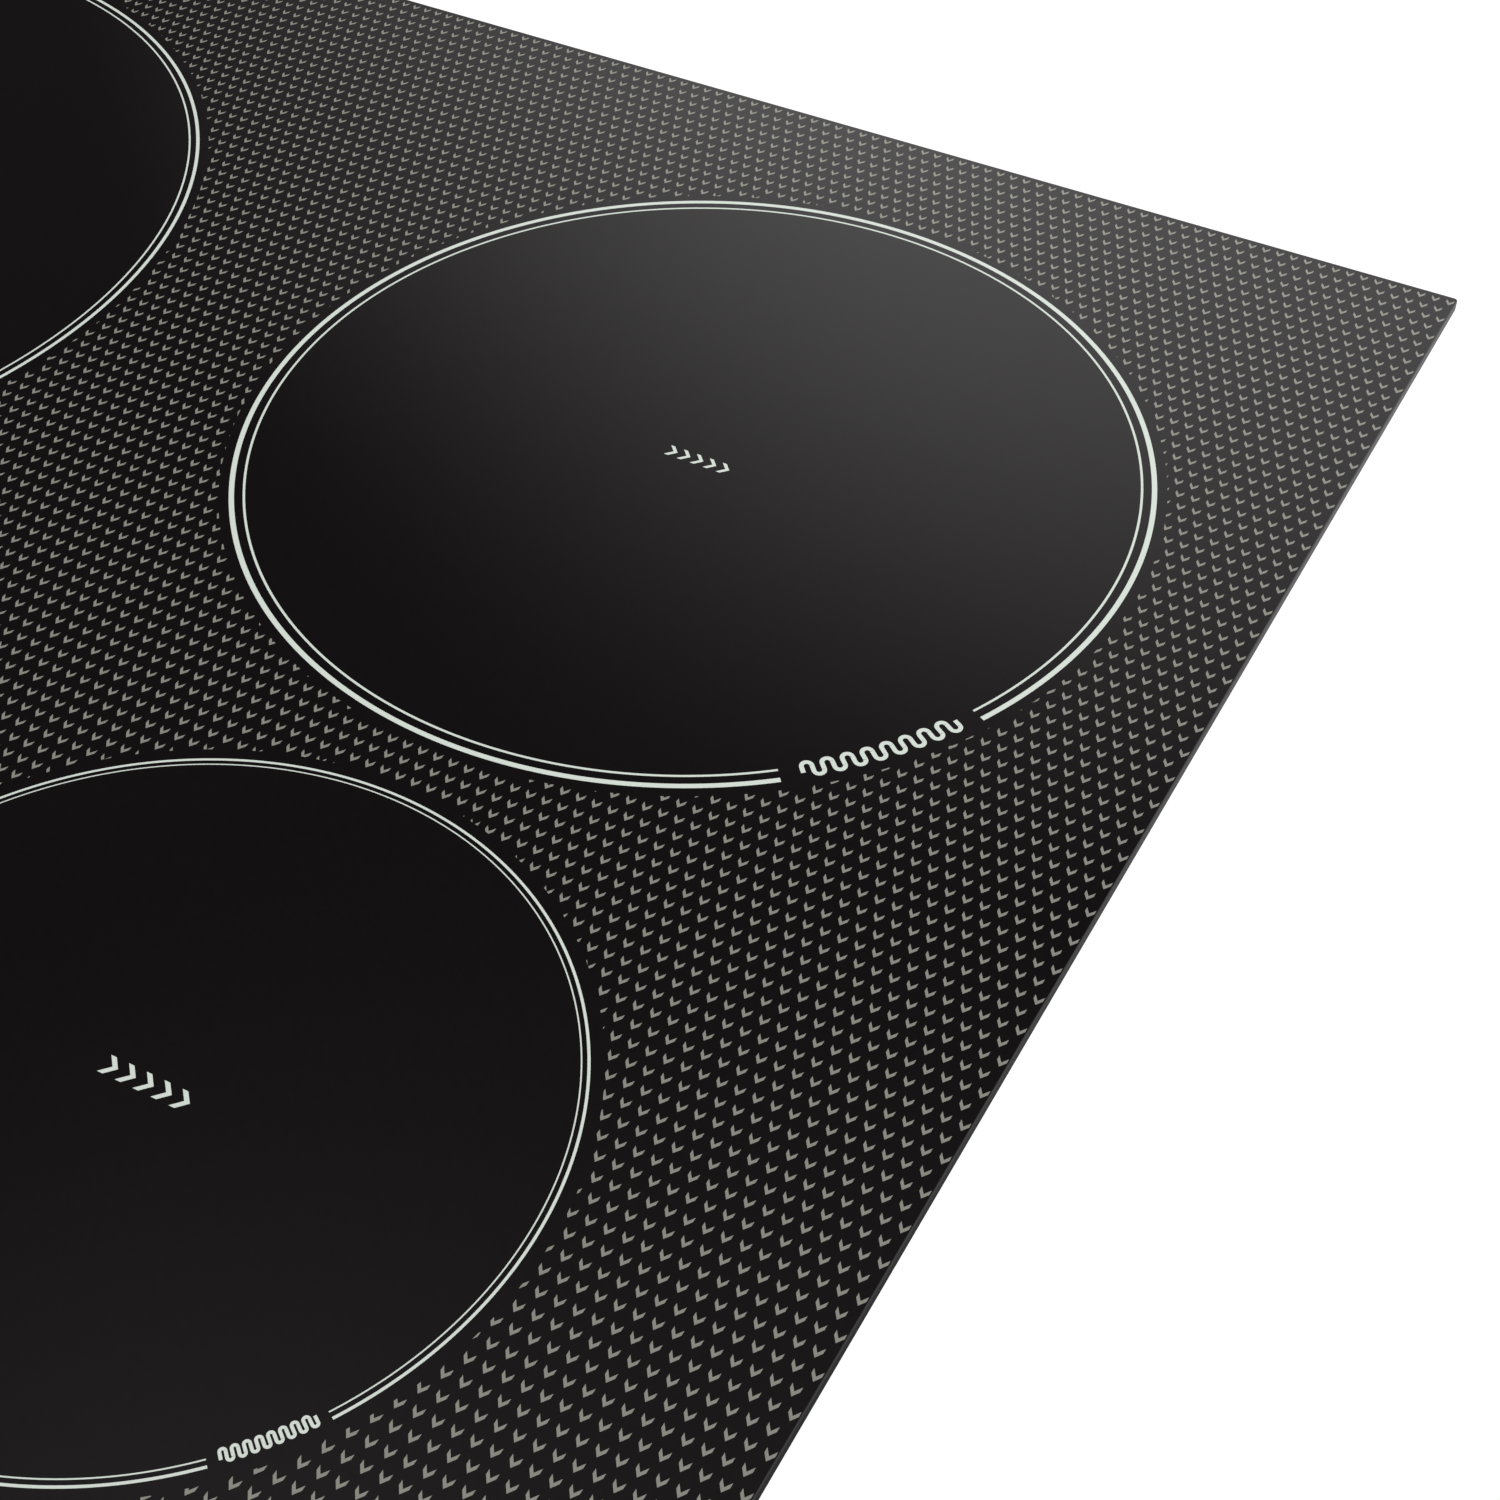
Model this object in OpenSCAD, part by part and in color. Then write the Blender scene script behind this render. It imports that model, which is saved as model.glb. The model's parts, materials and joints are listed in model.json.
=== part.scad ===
// Built-in induction cooktop: a glass plate bonded to a shallow steel case that holds four coils,
// two power boards, two blowers, the touch control and the mains terminals.
// Millimetres, +Z up, -Y towards the cook. The origin is at the centre of the underside.

/* [Glass] */
// Width of the glass plate
glass_w = 580; // [560:1:720]
// Depth of the glass plate
glass_d = 510; // [500:1:640]
// Thickness of the glass plate
glass_t = 4; // [3:0.1:6]
// Ground arris round the top edge
top_arris = 0.3; // [0.1:0.1:0.8]
// Ground bevel round the bottom edge
bottom_bevel = 1.1; // [0.3:0.1:1.5]
// Radius of the glass's corners
glass_corner_r = 1; // [0.5:0.1:1.5]
// Height from the underside to the top of the glass
overall_h = 56; // [55:1:80]

/* [Cooking zones] */
// Radius of the rear right ring
rear_right_r = 105; // [80:0.1:126]
// Radius of the front right ring
front_right_r = 80.1; // [66:0.1:97]
// Radius of the rear left ring
rear_left_r = 128.2; // [100:0.1:135]
// Radius of the front left ring
front_left_r = 72.5; // [62:0.1:88]
// Glass edge to the right-hand rings
right_margin = 30.6; // [25:0.1:60]
// Glass edge to the left-hand rings
left_margin = 31.5; // [25:0.1:60]
// Rear glass edge to the rear rings
rear_margin = 38.9; // [30:0.1:60]
// Gap between a rear ring and the ring in front of it
ring_gap = 16.9; // [8:0.1:30]
// How far a coil's winding stays inside its ring
coil_margin = 9; // [6:0.5:16]

/* [Case] */
// Glass overhang past the case, all round
overhang = 17; // [15:0.5:24]
// Thickness of the case's steel sheet
sheet_t = 0.8; // [0.6:0.02:1.2]
// Height of the base panel's rim
rim_h = 10; // [8:0.5:14]
// Width of the flange that is bonded to the glass
flange_w = 5; // [4:0.5:6]
// Thickness of the bond and of the seal
bond_t = 3; // [2:0.1:4]

/* [Coils] */
// Height of a winding
winding_h = 4.6; // [3:0.1:5.5]
// Pitch of a winding's turns
turn_pitch = 3.6; // [2.5:0.1:6]
// Thickness of a coil carrier's floor
carrier_t = 2.4; // [1.5:0.1:3]
// Height of a ferrite bar
ferrite_h = 4.4; // [3:0.1:5.5]
// Thickness of the aluminium plate under the coils
plate_t = 1.5; // [1:0.1:2.5]
// Outer radius of a temperature sensor's cap
sensor_r = 7.6; // [6:0.1:9]
// Travel of a temperature sensor
sensor_travel = 2; // [1:0.5:2.5]

/* [Electronics] */
// Width of a power board
board_w = 190; // [170:1:200]
// Depth of a power board
board_d = 236; // [220:1:240]
// Thickness of every circuit board
board_t = 1.6; // [1:0.1:2.4]
// Outer radius of a blower's impeller
impeller_r = 36; // [28:0.5:38]
// Depth of a blower's housing
blower_h = 26; // [22:0.5:28]
// Width of the touch control
control_w = 244; // [200:1:260]
// Depth of the touch control
control_d = 50; // [40:1:56]
// Radius of the mains cable's entry
cable_r = 6.5; // [4:0.1:7]

/* [Hidden] */
$fn = 64;
eps = 0.01;

// Levels, from the base up
glass_z = overall_h - glass_t;
flange_z = glass_z - bond_t;
layer_gap = 0.2;
insulation_t = 2.4;
insulation_z = glass_z - layer_gap - insulation_t;
winding_z = insulation_z - layer_gap - winding_h;
carrier_z = winding_z - carrier_t;
ferrite_z = carrier_z - ferrite_h;
plate_z = ferrite_z - 0.4 - plate_t;
plate_top = plate_z + plate_t;
board_lift = 7;
board_z = sheet_t + board_lift;
board_top = board_z + board_t;

// The case, with the base panel's rim inside the frame
case_w = glass_w - 2 * overhang;
case_d = glass_d - 2 * overhang;
case_r = 4;
rim_gap = 0.2;
inner_w = case_w - 2 * sheet_t;
inner_d = case_d - 2 * sheet_t;
rim_w = inner_w - 2 * rim_gap;
rim_d = inner_d - 2 * rim_gap;
frame_z = 1;
screw_clear_r = 2.2;
screw_thread_r = 1.7;
screw_r = 1.65;
pilot_r = screw_r - 0.2;
screw_head_r = 3.8;
screw_head_h = 1.6;
rim_screw_z = sheet_t + rim_h / 2;
bead_h = 1.6;
bead_w = 8;
bead_l = 110;

// Zones, in the order rear right, front right, rear left, front left
ZONES = ["rear_right", "front_right", "rear_left", "front_left"];
ring_r = [rear_right_r, front_right_r, rear_left_r, front_left_r];
right_x = glass_w / 2 - right_margin - rear_right_r;
left_x = -(glass_w / 2 - left_margin - rear_left_r);
rear_y = glass_d / 2 - rear_margin;
zone_x = [right_x, right_x, left_x, left_x];
zone_y = [
    rear_y - rear_right_r,
    rear_y - 2 * rear_right_r - ring_gap - front_right_r,
    rear_y - rear_left_r,
    rear_y - 2 * rear_left_r - ring_gap - front_left_r
];
lead_inset = 8;
lead_spacing = 9;
lead_r = 1.5;
lead_hole_r = 1.8;
winding_inner_r = 20;
hub_r = 11;
sensor_top = glass_z - 0.1;
sensor_skirt = 9 + sensor_travel;
sensor_cap_t = 2;
sensor_wall = 1.6;
spring_wire_r = 0.45;
spring_turns = 4;
spring_steps = 12;
guide_r = sensor_r + 0.4;
rim_t = 1.6;
rib_w = 1.6;
ferrite_w = 9;
ferrite_count = [8, 6, 10, 6];
boss_r = 4;
boss_share = 0.62;
plate_margin = 6;

function coil_r(i) = ring_r[i] - coil_margin;
function carrier_r(i) = coil_r(i) + 0.5 + rim_t;
// Bosses, ribs and leads stand midway between two ferrite bars
function half_pitch(i) = 180 / ferrite_count[i];
function boss_angle(i, k) = half_pitch(i) * (1 + 2 * round(k * ferrite_count[i] / 3));

// Blowers and boards, mirrored about the YZ plane
blower_x = case_w / 2 - 113;
blower_y = case_d / 2 - 110;
blower_z = sheet_t + 1.6;
blower_t = 1.2;
scroll_gap = 3;
scroll_growth = 10;
outlet_reach = impeller_r + scroll_gap + scroll_growth;
inlet_r = impeller_r - 8;
blower_top = blower_z + blower_h;
motor_r = 13.6;
motor_z = blower_z + 9;
shaft_r = 1.5;
shaft_fit = 0.06;
board_x = case_w / 2 - 18 - board_w / 2;
board_y = blower_y - impeller_r - scroll_gap - scroll_growth - 8 - board_d / 2;
sink_w = 48;
sink_h = 21;
sink_d = 150;
sink_floor_t = 4;
sink_y = board_y + board_d / 2 - 12 - sink_d / 2;
wing_w = 20;

// Direction in which each coil's leads drop to the boards, clear of what stands on them.
// The front left coil's leads always drop in front of the heat sink.
lead_clear = 10.95;
front_left_drop = (sink_y - sink_d / 2 - lead_clear - zone_y[3]) / (coil_r(3) - lead_inset);
lead_angle = [-40, 0, 210, 180 - asin(max(-1, min(1, front_left_drop)))];
post_r = 4;
post_stem_r = 1.9;

// The terminals, over an opening in the base panel at the rear right
term_w = 96;
term_d = 42;
term_t = 2;
term_x = case_w / 2 - 128;
term_y = case_d / 2 - 6 - term_d / 2;
term_bay_w = term_w - 2 * term_t;
term_bay_d = term_d - 2 * term_t;
clamp_wall = 2;
clamp_w = 2 * (cable_r + clamp_wall);
cable_x = term_x + term_bay_w / 2 - clamp_w / 2 - 6;
cable_z = sheet_t + rim_h + 0.6 + clamp_w / 2;
term_top = cable_z + clamp_w / 2 + 0.6 + term_t;
term_shelf_t = 8;
term_shelf_d = 18;
term_screw_r = 3;
term_pitch = 13;
term_count = 6;
terminal_y = term_y - term_bay_d / 2 + 3 + term_shelf_d / 2;
function terminal_x(k) = term_x + (k - (term_count - 1) / 2) * term_pitch;
cover_gap = 0.6;
cover_t = 2;
cover_z = sheet_t + 0.2;
hinge_pin_r = 1.2;
hinge_barrel_r = 2;
hinge_y = term_y - term_bay_d / 2 + hinge_barrel_r + 0.5;
hinge_z = cover_z + cover_t - 0.1;

// The spring clips on the side walls
clip_w = 24;
clip_pin_r = 1.2;
clip_fit = 0.05;
clip_tube_r = 2.1;
clip_x = case_w / 2 + 3.4;
clip_z = flange_z - 9;
clip_t = 0.8;
clip_y = case_d / 2 - 78;
clip_plate_t = 1;

// The touch control, under the front edge of the glass
control_x = glass_w / 2 - 60 - control_w / 2;
control_y = -case_d / 2 + 8 + control_d / 2;
control_wall = 1.6;
control_board_z = glass_z - 8;
touch_r = 6;
touch_count = 9;
ribbon_w = 18;
ribbon_t = 0.6;
ribbon_x = control_x + control_w / 2 - 30;
ribbon_y = control_y;

module rounded(w, d, r) {
    square([w - 2 * r, d], center = true);
    square([w, d - 2 * r], center = true);
    for (x = [-1, 1], y = [-1, 1]) translate([x * (w / 2 - r), y * (d / 2 - r)]) circle(r);
}

// The flange, seen from above: it turns outwards from the top of the walls
module flange_outline() {
    rounded_ring(case_w + 2 * flange_w, case_d + 2 * flange_w, case_r + flange_w, flange_w + sheet_t);
}

module rounded_ring(w, d, r, t) {
    difference() {
        rounded(w, d, r);
        rounded(w - 2 * t, d - 2 * t, max(r - t, 0.2));
    }
}

module slab(w, d, r, z, h) {
    translate([0, 0, z]) linear_extrude(h) rounded(w, d, r);
}

// A slot with round ends, along X, centred, cut upwards from z
module slot(length, width, z, h) {
    translate([0, 0, z]) linear_extrude(h) {
        square([length - width, width], center = true);
        for (x = [-1, 1]) translate([x * (length - width) / 2, 0]) circle(width / 2);
    }
}

module tube(outer_r, inner_r, z, h) {
    translate([0, 0, z]) difference() {
        cylinder(r = outer_r, h = h);
        translate([0, 0, -eps]) cylinder(r = inner_r, h = h + 2 * eps);
    }
}

// Section of the glass across its thickness: a small arris above, a larger bevel below
module glass_section(w) {
    polygon([
        [-w / 2, bottom_bevel], [-w / 2 + bottom_bevel, 0], [w / 2 - bottom_bevel, 0], [w / 2, bottom_bevel],
        [w / 2, glass_t - top_arris], [w / 2 - top_arris, glass_t],
        [-w / 2 + top_arris, glass_t], [-w / 2, glass_t - top_arris]
    ]);
}

module glass_top() {
    color([0.05, 0.05, 0.05]) translate([0, 0, glass_z]) intersection() {
        rotate([90, 0, 0]) linear_extrude(glass_d + 2, center = true) glass_section(glass_w);
        rotate([90, 0, 90]) linear_extrude(glass_w + 2, center = true) glass_section(glass_d);
        linear_extrude(glass_t) rounded(glass_w, glass_d, glass_corner_r);
    }
}

module glass_bond() {
    color([0.12, 0.12, 0.12]) translate([0, 0, flange_z]) linear_extrude(bond_t) flange_outline();
}

// The seal lies between the bonded flange and the glass's edge, clear of both
module seal_strip() {
    edge = bottom_bevel + 1;
    seal_w = overhang - edge - flange_w - 0.9;
    color([0.2, 0.2, 0.2]) translate([0, 0, flange_z]) linear_extrude(bond_t)
        rounded_ring(glass_w - 2 * edge, glass_d - 2 * edge, 2, seal_w);
}

// Horizontal screw places round the rim: position, and the turn about Z of the screw's outward direction
function rim_screws() = concat(
    [for (s = [-1, 1], y = [-0.42, 0, 0.42]) [s * rim_w / 2, y * rim_d, s > 0 ? 0 : 180]],
    [for (s = [-1, 1], x = [-0.4, 0.02]) [x * rim_w, s * rim_d / 2, s * 90]]
);

module at_rim_screws() {
    for (p = rim_screws()) translate([p[0], p[1], rim_screw_z]) rotate([0, 90, p[2]]) children();
}

module exhaust_slots() {
    pitch = 8;
    low = sheet_t + rim_h + 3;
    length = plate_z - low - 3;
    for (s = [-1, 1], k = [-7:7]) translate([s * (board_x + k * pitch), -case_d / 2, low + length / 2])
        rotate([90, 90, 0]) slot(length, 3.6, -3, 6);
}

// The square hole that the cable clamp snaps into
module clamp_hole(gap) {
    w = clamp_w + 2 * gap;
    translate([cable_x - w / 2, case_d / 2 - 14, cable_z - w / 2]) cube([w, 28, w]);
}

module case_frame() {
    color([0.72, 0.73, 0.74]) difference() {
        union() {
            translate([0, 0, frame_z]) linear_extrude(flange_z - frame_z)
                rounded_ring(case_w, case_d, case_r, sheet_t);
            translate([0, 0, flange_z - sheet_t]) linear_extrude(sheet_t) flange_outline();
        }
        exhaust_slots();
        clamp_hole(0.1);
        at_rim_screws() translate([0, 0, -3]) cylinder(r = screw_clear_r, h = 8);
    }
}

// Intake grille below each blower: rows of slots inside a circle
module intake_slots() {
    pitch = 6.5;
    for (s = [-1, 1]) translate([s * blower_x, blower_y, 0])
        for (k = [-4:4]) {
            reach = sqrt(inlet_r * inlet_r - pow(k * pitch, 2));
            if (reach > 6) for (h = [-1, 1]) translate([h * (reach / 2 + 1.2), k * pitch, 0])
                slot(reach - 2.4, 3.6, -1, 4);
        }
}

// A bead pressed up into the base panel, to stiffen it
module bead(length, width, height) {
    difference() {
        translate([0, 0, (height + sheet_t) / 2])
            cube([length + 2 * sheet_t, width + 2 * sheet_t, height + sheet_t], center = true);
        translate([0, 0, height / 2 - eps]) cube([length, width, height + eps], center = true);
    }
}

module at_beads() {
    for (k = [0:2]) translate([0, -case_d / 2 + 46 + k * 28, 0]) children();
}

module terminal_opening() {
    translate([term_x, term_y, -1]) linear_extrude(4) rounded(term_bay_w, term_bay_d, 1);
}

module base_panel() {
    color([0.72, 0.73, 0.74]) difference() {
        union() {
            difference() {
                slab(rim_w, rim_d, case_r - 1, 0, sheet_t + rim_h);
                slab(rim_w - 2 * sheet_t, rim_d - 2 * sheet_t, case_r - 1 - sheet_t, sheet_t, rim_h + 1);
                at_beads() cube([bead_l, bead_w, 3 * sheet_t], center = true);
            }
            at_beads() bead(bead_l, bead_w, bead_h);
        }
        intake_slots();
        terminal_opening();
        at_rim_screws() translate([0, 0, -3]) cylinder(r = screw_thread_r, h = 6);
    }
}

module case_screws() {
    color([0.6, 0.6, 0.62]) at_rim_screws() difference() {
        union() {
            translate([0, 0, -4]) cylinder(r = screw_r, h = 4 + rim_gap + sheet_t);
            translate([0, 0, rim_gap + sheet_t]) cylinder(r = screw_head_r, h = screw_head_h);
        }
        translate([0, 0, rim_gap + sheet_t + screw_head_h - 1]) for (a = [0, 90]) rotate([0, 0, a])
            translate([-2.2, -0.4, 0]) cube([4.4, 0.8, 2]);
    }
}

// Clip places: side (-1 left, 1 right) and end (-1 front, 1 rear)
module at_clip(side, end) {
    translate([0, end * clip_y, 0]) mirror([side < 0 ? 1 : 0, 0, 0]) children();
}

module clip_bracket() {
    ear_t = 1.2;
    ear_y = clip_w / 2 + 0.4;
    translate([case_w / 2, -ear_y - ear_t, clip_z - 5]) cube([clip_plate_t, 2 * (ear_y + ear_t), 11]);
    for (s = [-1, 1]) translate([case_w / 2, s * (ear_y + ear_t / 2), clip_z]) {
        translate([0, -ear_t / 2, -2.6]) cube([clip_x - case_w / 2, ear_t, 5.2]);
        translate([clip_x - case_w / 2, ear_t / 2, 0]) rotate([90, 0, 0]) cylinder(r = 2.6, h = ear_t);
    }
    translate([clip_x, ear_y + ear_t, clip_z]) rotate([90, 0, 0])
        cylinder(r = clip_pin_r, h = 2 * (ear_y + ear_t));
    for (s = [-1, 1]) translate([case_w / 2, s * clip_w * 0.3, clip_z + 3.6]) rotate([0, 90, 0])
        cylinder(r = 1.4, h = 1.7);
}

module clip_brackets() {
    color([0.62, 0.62, 0.64]) for (s = [-1, 1], e = [-1, 1]) at_clip(s, e) clip_bracket();
}

// A formed strip that hangs from the bracket's pin and bulges outwards to grip the worktop's edge
module spring_clip() {
    bulge_x = 4.6;
    bulge_z = -17;
    foot_x = 0.6;
    foot_z = -30;
    difference() {
        translate([clip_x, clip_w / 2, clip_z]) rotate([90, 0, 0]) {
            cylinder(r = clip_tube_r, h = clip_w);
            linear_extrude(clip_w) polygon([
                [0.6, -0.6], [clip_tube_r - 0.4, -0.6], [clip_tube_r + 0.2, -3], [bulge_x, bulge_z],
                [foot_x + clip_t, foot_z], [foot_x, foot_z], [bulge_x - clip_t, bulge_z],
                [clip_tube_r - clip_t, -3]
            ]);
        }
        translate([clip_x, clip_w / 2 + 1, clip_z]) rotate([90, 0, 0])
            cylinder(r = clip_pin_r + clip_fit, h = clip_w + 2);
    }
}

module spring_clip_at(side, end) {
    color([0.55, 0.56, 0.58]) at_clip(side, end) spring_clip();
}

module in_zone(i) {
    translate([zone_x[i], zone_y[i], 0]) rotate([0, 0, lead_angle[i] - half_pitch(i)]) children();
}

module at_bosses(i) {
    for (k = [0:2]) rotate([0, 0, boss_angle(i, k)]) translate([coil_r(i) * boss_share, 0, 0]) children();
}

module at_leads(i) {
    for (s = [-1, 1]) rotate([0, 0, half_pitch(i)])
        translate([coil_r(i) - lead_inset, s * lead_spacing / 2, 0]) children();
}

module coil_carrier(i) {
    r = carrier_r(i) - rim_t;
    color([0.85, 0.84, 0.8]) in_zone(i) difference() {
        union() {
            translate([0, 0, carrier_z]) cylinder(r = carrier_r(i), h = carrier_t);
            tube(carrier_r(i), r, carrier_z, carrier_t + winding_h - 1);
            translate([0, 0, ferrite_z]) cylinder(r = hub_r, h = winding_z + winding_h - ferrite_z);
            at_bosses(i) translate([0, 0, plate_top]) cylinder(r = boss_r, h = carrier_z - plate_top + eps);
            for (k = [0:ferrite_count[i] - 1]) rotate([0, 0, (2 * k + 1) * half_pitch(i)])
                translate([hub_r - 1, -rib_w / 2, carrier_z - 2.5]) cube([r - hub_r, rib_w, 2.6]);
        }
        at_leads(i) translate([0, 0, carrier_z - 1]) cylinder(r = lead_hole_r, h = carrier_t + 2);
        translate([0, 0, ferrite_z - 1]) cylinder(r = guide_r, h = winding_z + winding_h);
        at_bosses(i) translate([0, 0, plate_top - 1]) cylinder(r = pilot_r + 0.05, h = 5);
    }
}

// Concentric turns of litz wire, as one ring with a groove between the turns
module winding(i) {
    turns = floor((coil_r(i) - winding_inner_r) / turn_pitch);
    pitch = (coil_r(i) - winding_inner_r) / turns;
    groove = 0.5;
    depth = 0.9;
    color([0.75, 0.42, 0.22]) in_zone(i) translate([0, 0, winding_z]) rotate_extrude() polygon(concat(
        [[winding_inner_r, 0]],
        [[winding_inner_r + turns * pitch - groove, 0]],
        [for (k = [turns - 1:-1:0]) each [
            [winding_inner_r + (k + 1) * pitch - groove, winding_h - 0.6],
            [winding_inner_r + (k + 1) * pitch - groove - 0.6, winding_h],
            [winding_inner_r + k * pitch + 0.6, winding_h],
            [winding_inner_r + k * pitch, winding_h - 0.6],
            if (k > 0) [winding_inner_r + k * pitch, winding_h - depth],
            if (k > 0) [winding_inner_r + k * pitch - groove, winding_h - depth]
        ]]
    ));
}

module ferrites(i) {
    h = half_pitch(i);
    inner = max(hub_r + 3, (ferrite_w / 2 * cos(h) + rib_w / 2 + 0.3) / sin(h));
    color([0.22, 0.22, 0.23]) in_zone(i) for (k = [0:ferrite_count[i] - 1])
        rotate([0, 0, k * 360 / ferrite_count[i]]) translate([inner, -ferrite_w / 2, ferrite_z])
            cube([coil_r(i) - 4 - inner, ferrite_w, ferrite_h]);
}

module insulation(i) {
    color([0.88, 0.87, 0.82]) in_zone(i) tube(carrier_r(i), guide_r + 1, insulation_z, insulation_t);
}

module sensor(i) {
    color([0.93, 0.93, 0.9]) in_zone(i) {
        difference() {
            translate([0, 0, sensor_top - sensor_skirt]) cylinder(r = sensor_r, h = sensor_skirt);
            translate([0, 0, sensor_top - sensor_skirt - 1])
                cylinder(r = sensor_r - sensor_wall, h = sensor_skirt + 1 - sensor_cap_t);
        }
    }
}

// A ring of points round a centre, square to the direction of travel
function ring_points(c, dir, r, n) =
    let (
        t = dir / norm(dir),
        up = abs(t[2]) > 0.9 ? [1, 0, 0] : [0, 0, 1],
        u0 = cross(up, t),
        u = u0 / norm(u0),
        v = cross(t, u)
    )
    [for (k = [0:n - 1]) c + r * (cos(360 * k / n) * u + sin(360 * k / n) * v)];

// A round bar along a list of points
module sweep(path, r, n) {
    last = len(path) - 1;
    dirs = [for (k = [0:last]) path[min(k + 1, last)] - path[max(k - 1, 0)]];
    points = [for (k = [0:last]) each ring_points(path[k], dirs[k], r, n)];
    sides = [for (k = [0:last - 1], s = [0:n - 1])
        [k * n + s, k * n + (s + 1) % n, (k + 1) * n + (s + 1) % n, (k + 1) * n + s]];
    polyhedron(
        points = points,
        faces = concat([[for (s = [0:n - 1]) n - 1 - s]], [[for (s = [0:n - 1]) last * n + s]],
            [for (f = sides) [f[0], f[1], f[2]]], [for (f = sides) [f[0], f[2], f[3]]])
    );
}

module sensor_spring(i) {
    low = plate_top + spring_wire_r + 0.05;
    high = sensor_top - sensor_cap_t - spring_wire_r - 0.05;
    coil = sensor_r - sensor_wall - spring_wire_r - 0.5;
    path = [for (k = [0:spring_turns * spring_steps])
        let (a = 360 * k / spring_steps, z = low + (high - low) * k / (spring_turns * spring_steps))
        [coil * cos(a), coil * sin(a), z]];
    color([0.7, 0.7, 0.72]) in_zone(i) sweep(path, spring_wire_r, 8);
}

// Standoff places: under the coil plate, and under the power boards
channel_x = (left_x + max(carrier_r(2), carrier_r(3)) + right_x - max(carrier_r(0), carrier_r(1))) / 2;
plate_posts = concat(
    [for (y = [-0.44, -0.1, 0.25]) [channel_x, y * case_d]],
    [for (x = [-1, 1], y = [-1, -0.1, 1]) [x * (inner_w / 2 - 11), y * (inner_d / 2 - 11)]]
);
board_spacers = [for (s = [-1, 1], x = [-1, 1], y = [-1, 1])
    [s * board_x + x * (board_w / 2 - 6), board_y + y * (board_d / 2 - 6)]];

module standoffs() {
    color([0.8, 0.8, 0.82]) {
        for (p = plate_posts) translate([p[0], p[1], sheet_t]) {
            cylinder(r = post_r, h = plate_z - sheet_t);
            cylinder(r = post_stem_r, h = plate_top - sheet_t + 1);
            translate([0, 0, plate_top - sheet_t]) cylinder(r = 3, h = 1);
        }
        for (p = board_spacers) translate([p[0], p[1], sheet_t]) {
            cylinder(r = 3.2, h = board_lift);
            cylinder(r = post_stem_r, h = board_lift + board_t + 1);
            translate([0, 0, board_lift + board_t]) cylinder(r = 3, h = 1);
        }
    }
}

module coil_plate() {
    color([0.8, 0.81, 0.82]) difference() {
        slab(inner_w - 2 * plate_margin, inner_d - 2 * plate_margin, 4, plate_z, plate_t);
        for (p = plate_posts) translate([p[0], p[1], plate_z - 1]) cylinder(r = post_stem_r + 0.1, h = 4);
        for (i = [0:3]) in_zone(i) {
            at_bosses(i) translate([0, 0, plate_z - 1]) cylinder(r = screw_r + 0.1, h = 4);
            at_leads(i) translate([0, 0, plate_z - 1]) cylinder(r = lead_hole_r + 1, h = 4);
        }
        ribbon_hole(plate_z);
    }
}

module coil_screws() {
    color([0.6, 0.6, 0.62]) for (i = [0:3]) in_zone(i) at_bosses(i) {
        translate([0, 0, plate_z - 0.5]) cylinder(r = pilot_r, h = plate_t + 0.5 + 3.6);
        translate([0, 0, plate_z - 1.8]) cylinder(r = 3, h = 1.8);
    }
}

module on_side(side) {
    mirror([side < 0 ? 1 : 0, 0, 0]) children();
}

module power_board(side) {
    color([0.2, 0.42, 0.25]) on_side(side) difference() {
        translate([board_x, board_y, board_z]) linear_extrude(board_t) rounded(board_w, board_d, 2);
        for (x = [-1, 1], y = [-1, 1])
            translate([board_x + x * (board_w / 2 - 6), board_y + y * (board_d / 2 - 6), board_z - 1])
                cylinder(r = post_stem_r + 0.1, h = board_t + 2);
    }
}

// A finned extrusion with a flat wing on its outer side for the transistors
module heatsinks() {
    fins = 9;
    fin_t = 1.6;
    pitch = (sink_w - fin_t) / (fins - 1);
    color([0.78, 0.79, 0.8]) for (s = [-1, 1]) on_side(s)
        translate([blower_x, sink_y + sink_d / 2, board_top]) rotate([90, 0, 0]) linear_extrude(sink_d) {
            translate([-sink_w / 2, 0]) square([sink_w + wing_w, sink_floor_t]);
            for (k = [0:fins - 1]) translate([-sink_w / 2 + k * pitch, 0]) square([fin_t, sink_h]);
        }
}

module power_transistors() {
    count = 5;
    pitch = (sink_d - 28) / (count - 1);
    floor_t = sink_floor_t;
    color([0.1, 0.1, 0.1]) for (s = [-1, 1], k = [0:count - 1]) on_side(s)
        translate([blower_x + sink_w / 2 + 3, sink_y - sink_d / 2 + 14 + k * pitch, board_top]) {
            translate([0, -8, floor_t]) cube([16, 16, 5]);
            for (p = [-1, 0, 1]) translate([16 - eps, p * 5 - 0.6, floor_t + 2]) {
                cube([4.2, 1.2, 0.6]);
                translate([3, 0, -floor_t - 2]) cube([1.2, 1.2, floor_t + 2.6]);
            }
        }
}

module capacitors() {
    inside_x = blower_x - sink_w / 2 - 24;
    color([0.82, 0.8, 0.72]) for (s = [-1, 1], k = [0:2]) on_side(s)
        translate([inside_x - 16, board_y - board_d / 2 + 22 + k * 36, board_top])
            linear_extrude(20) rounded(30, 20, 1);
    color([0.15, 0.2, 0.35]) for (s = [-1, 1], k = [0, 1]) on_side(s)
        translate([inside_x - 16, board_y + board_d / 2 - 24 - k * 24, board_top]) cylinder(r = 9, h = 22);
}

module filter_chokes() {
    color([0.72, 0.4, 0.18]) for (s = [-1, 1]) on_side(s)
        translate([blower_x + sink_w / 2 - 6, board_y - board_d / 2 + 26, board_top + 6.5])
            rotate_extrude() translate([13, 0]) circle(6.5);
}

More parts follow.
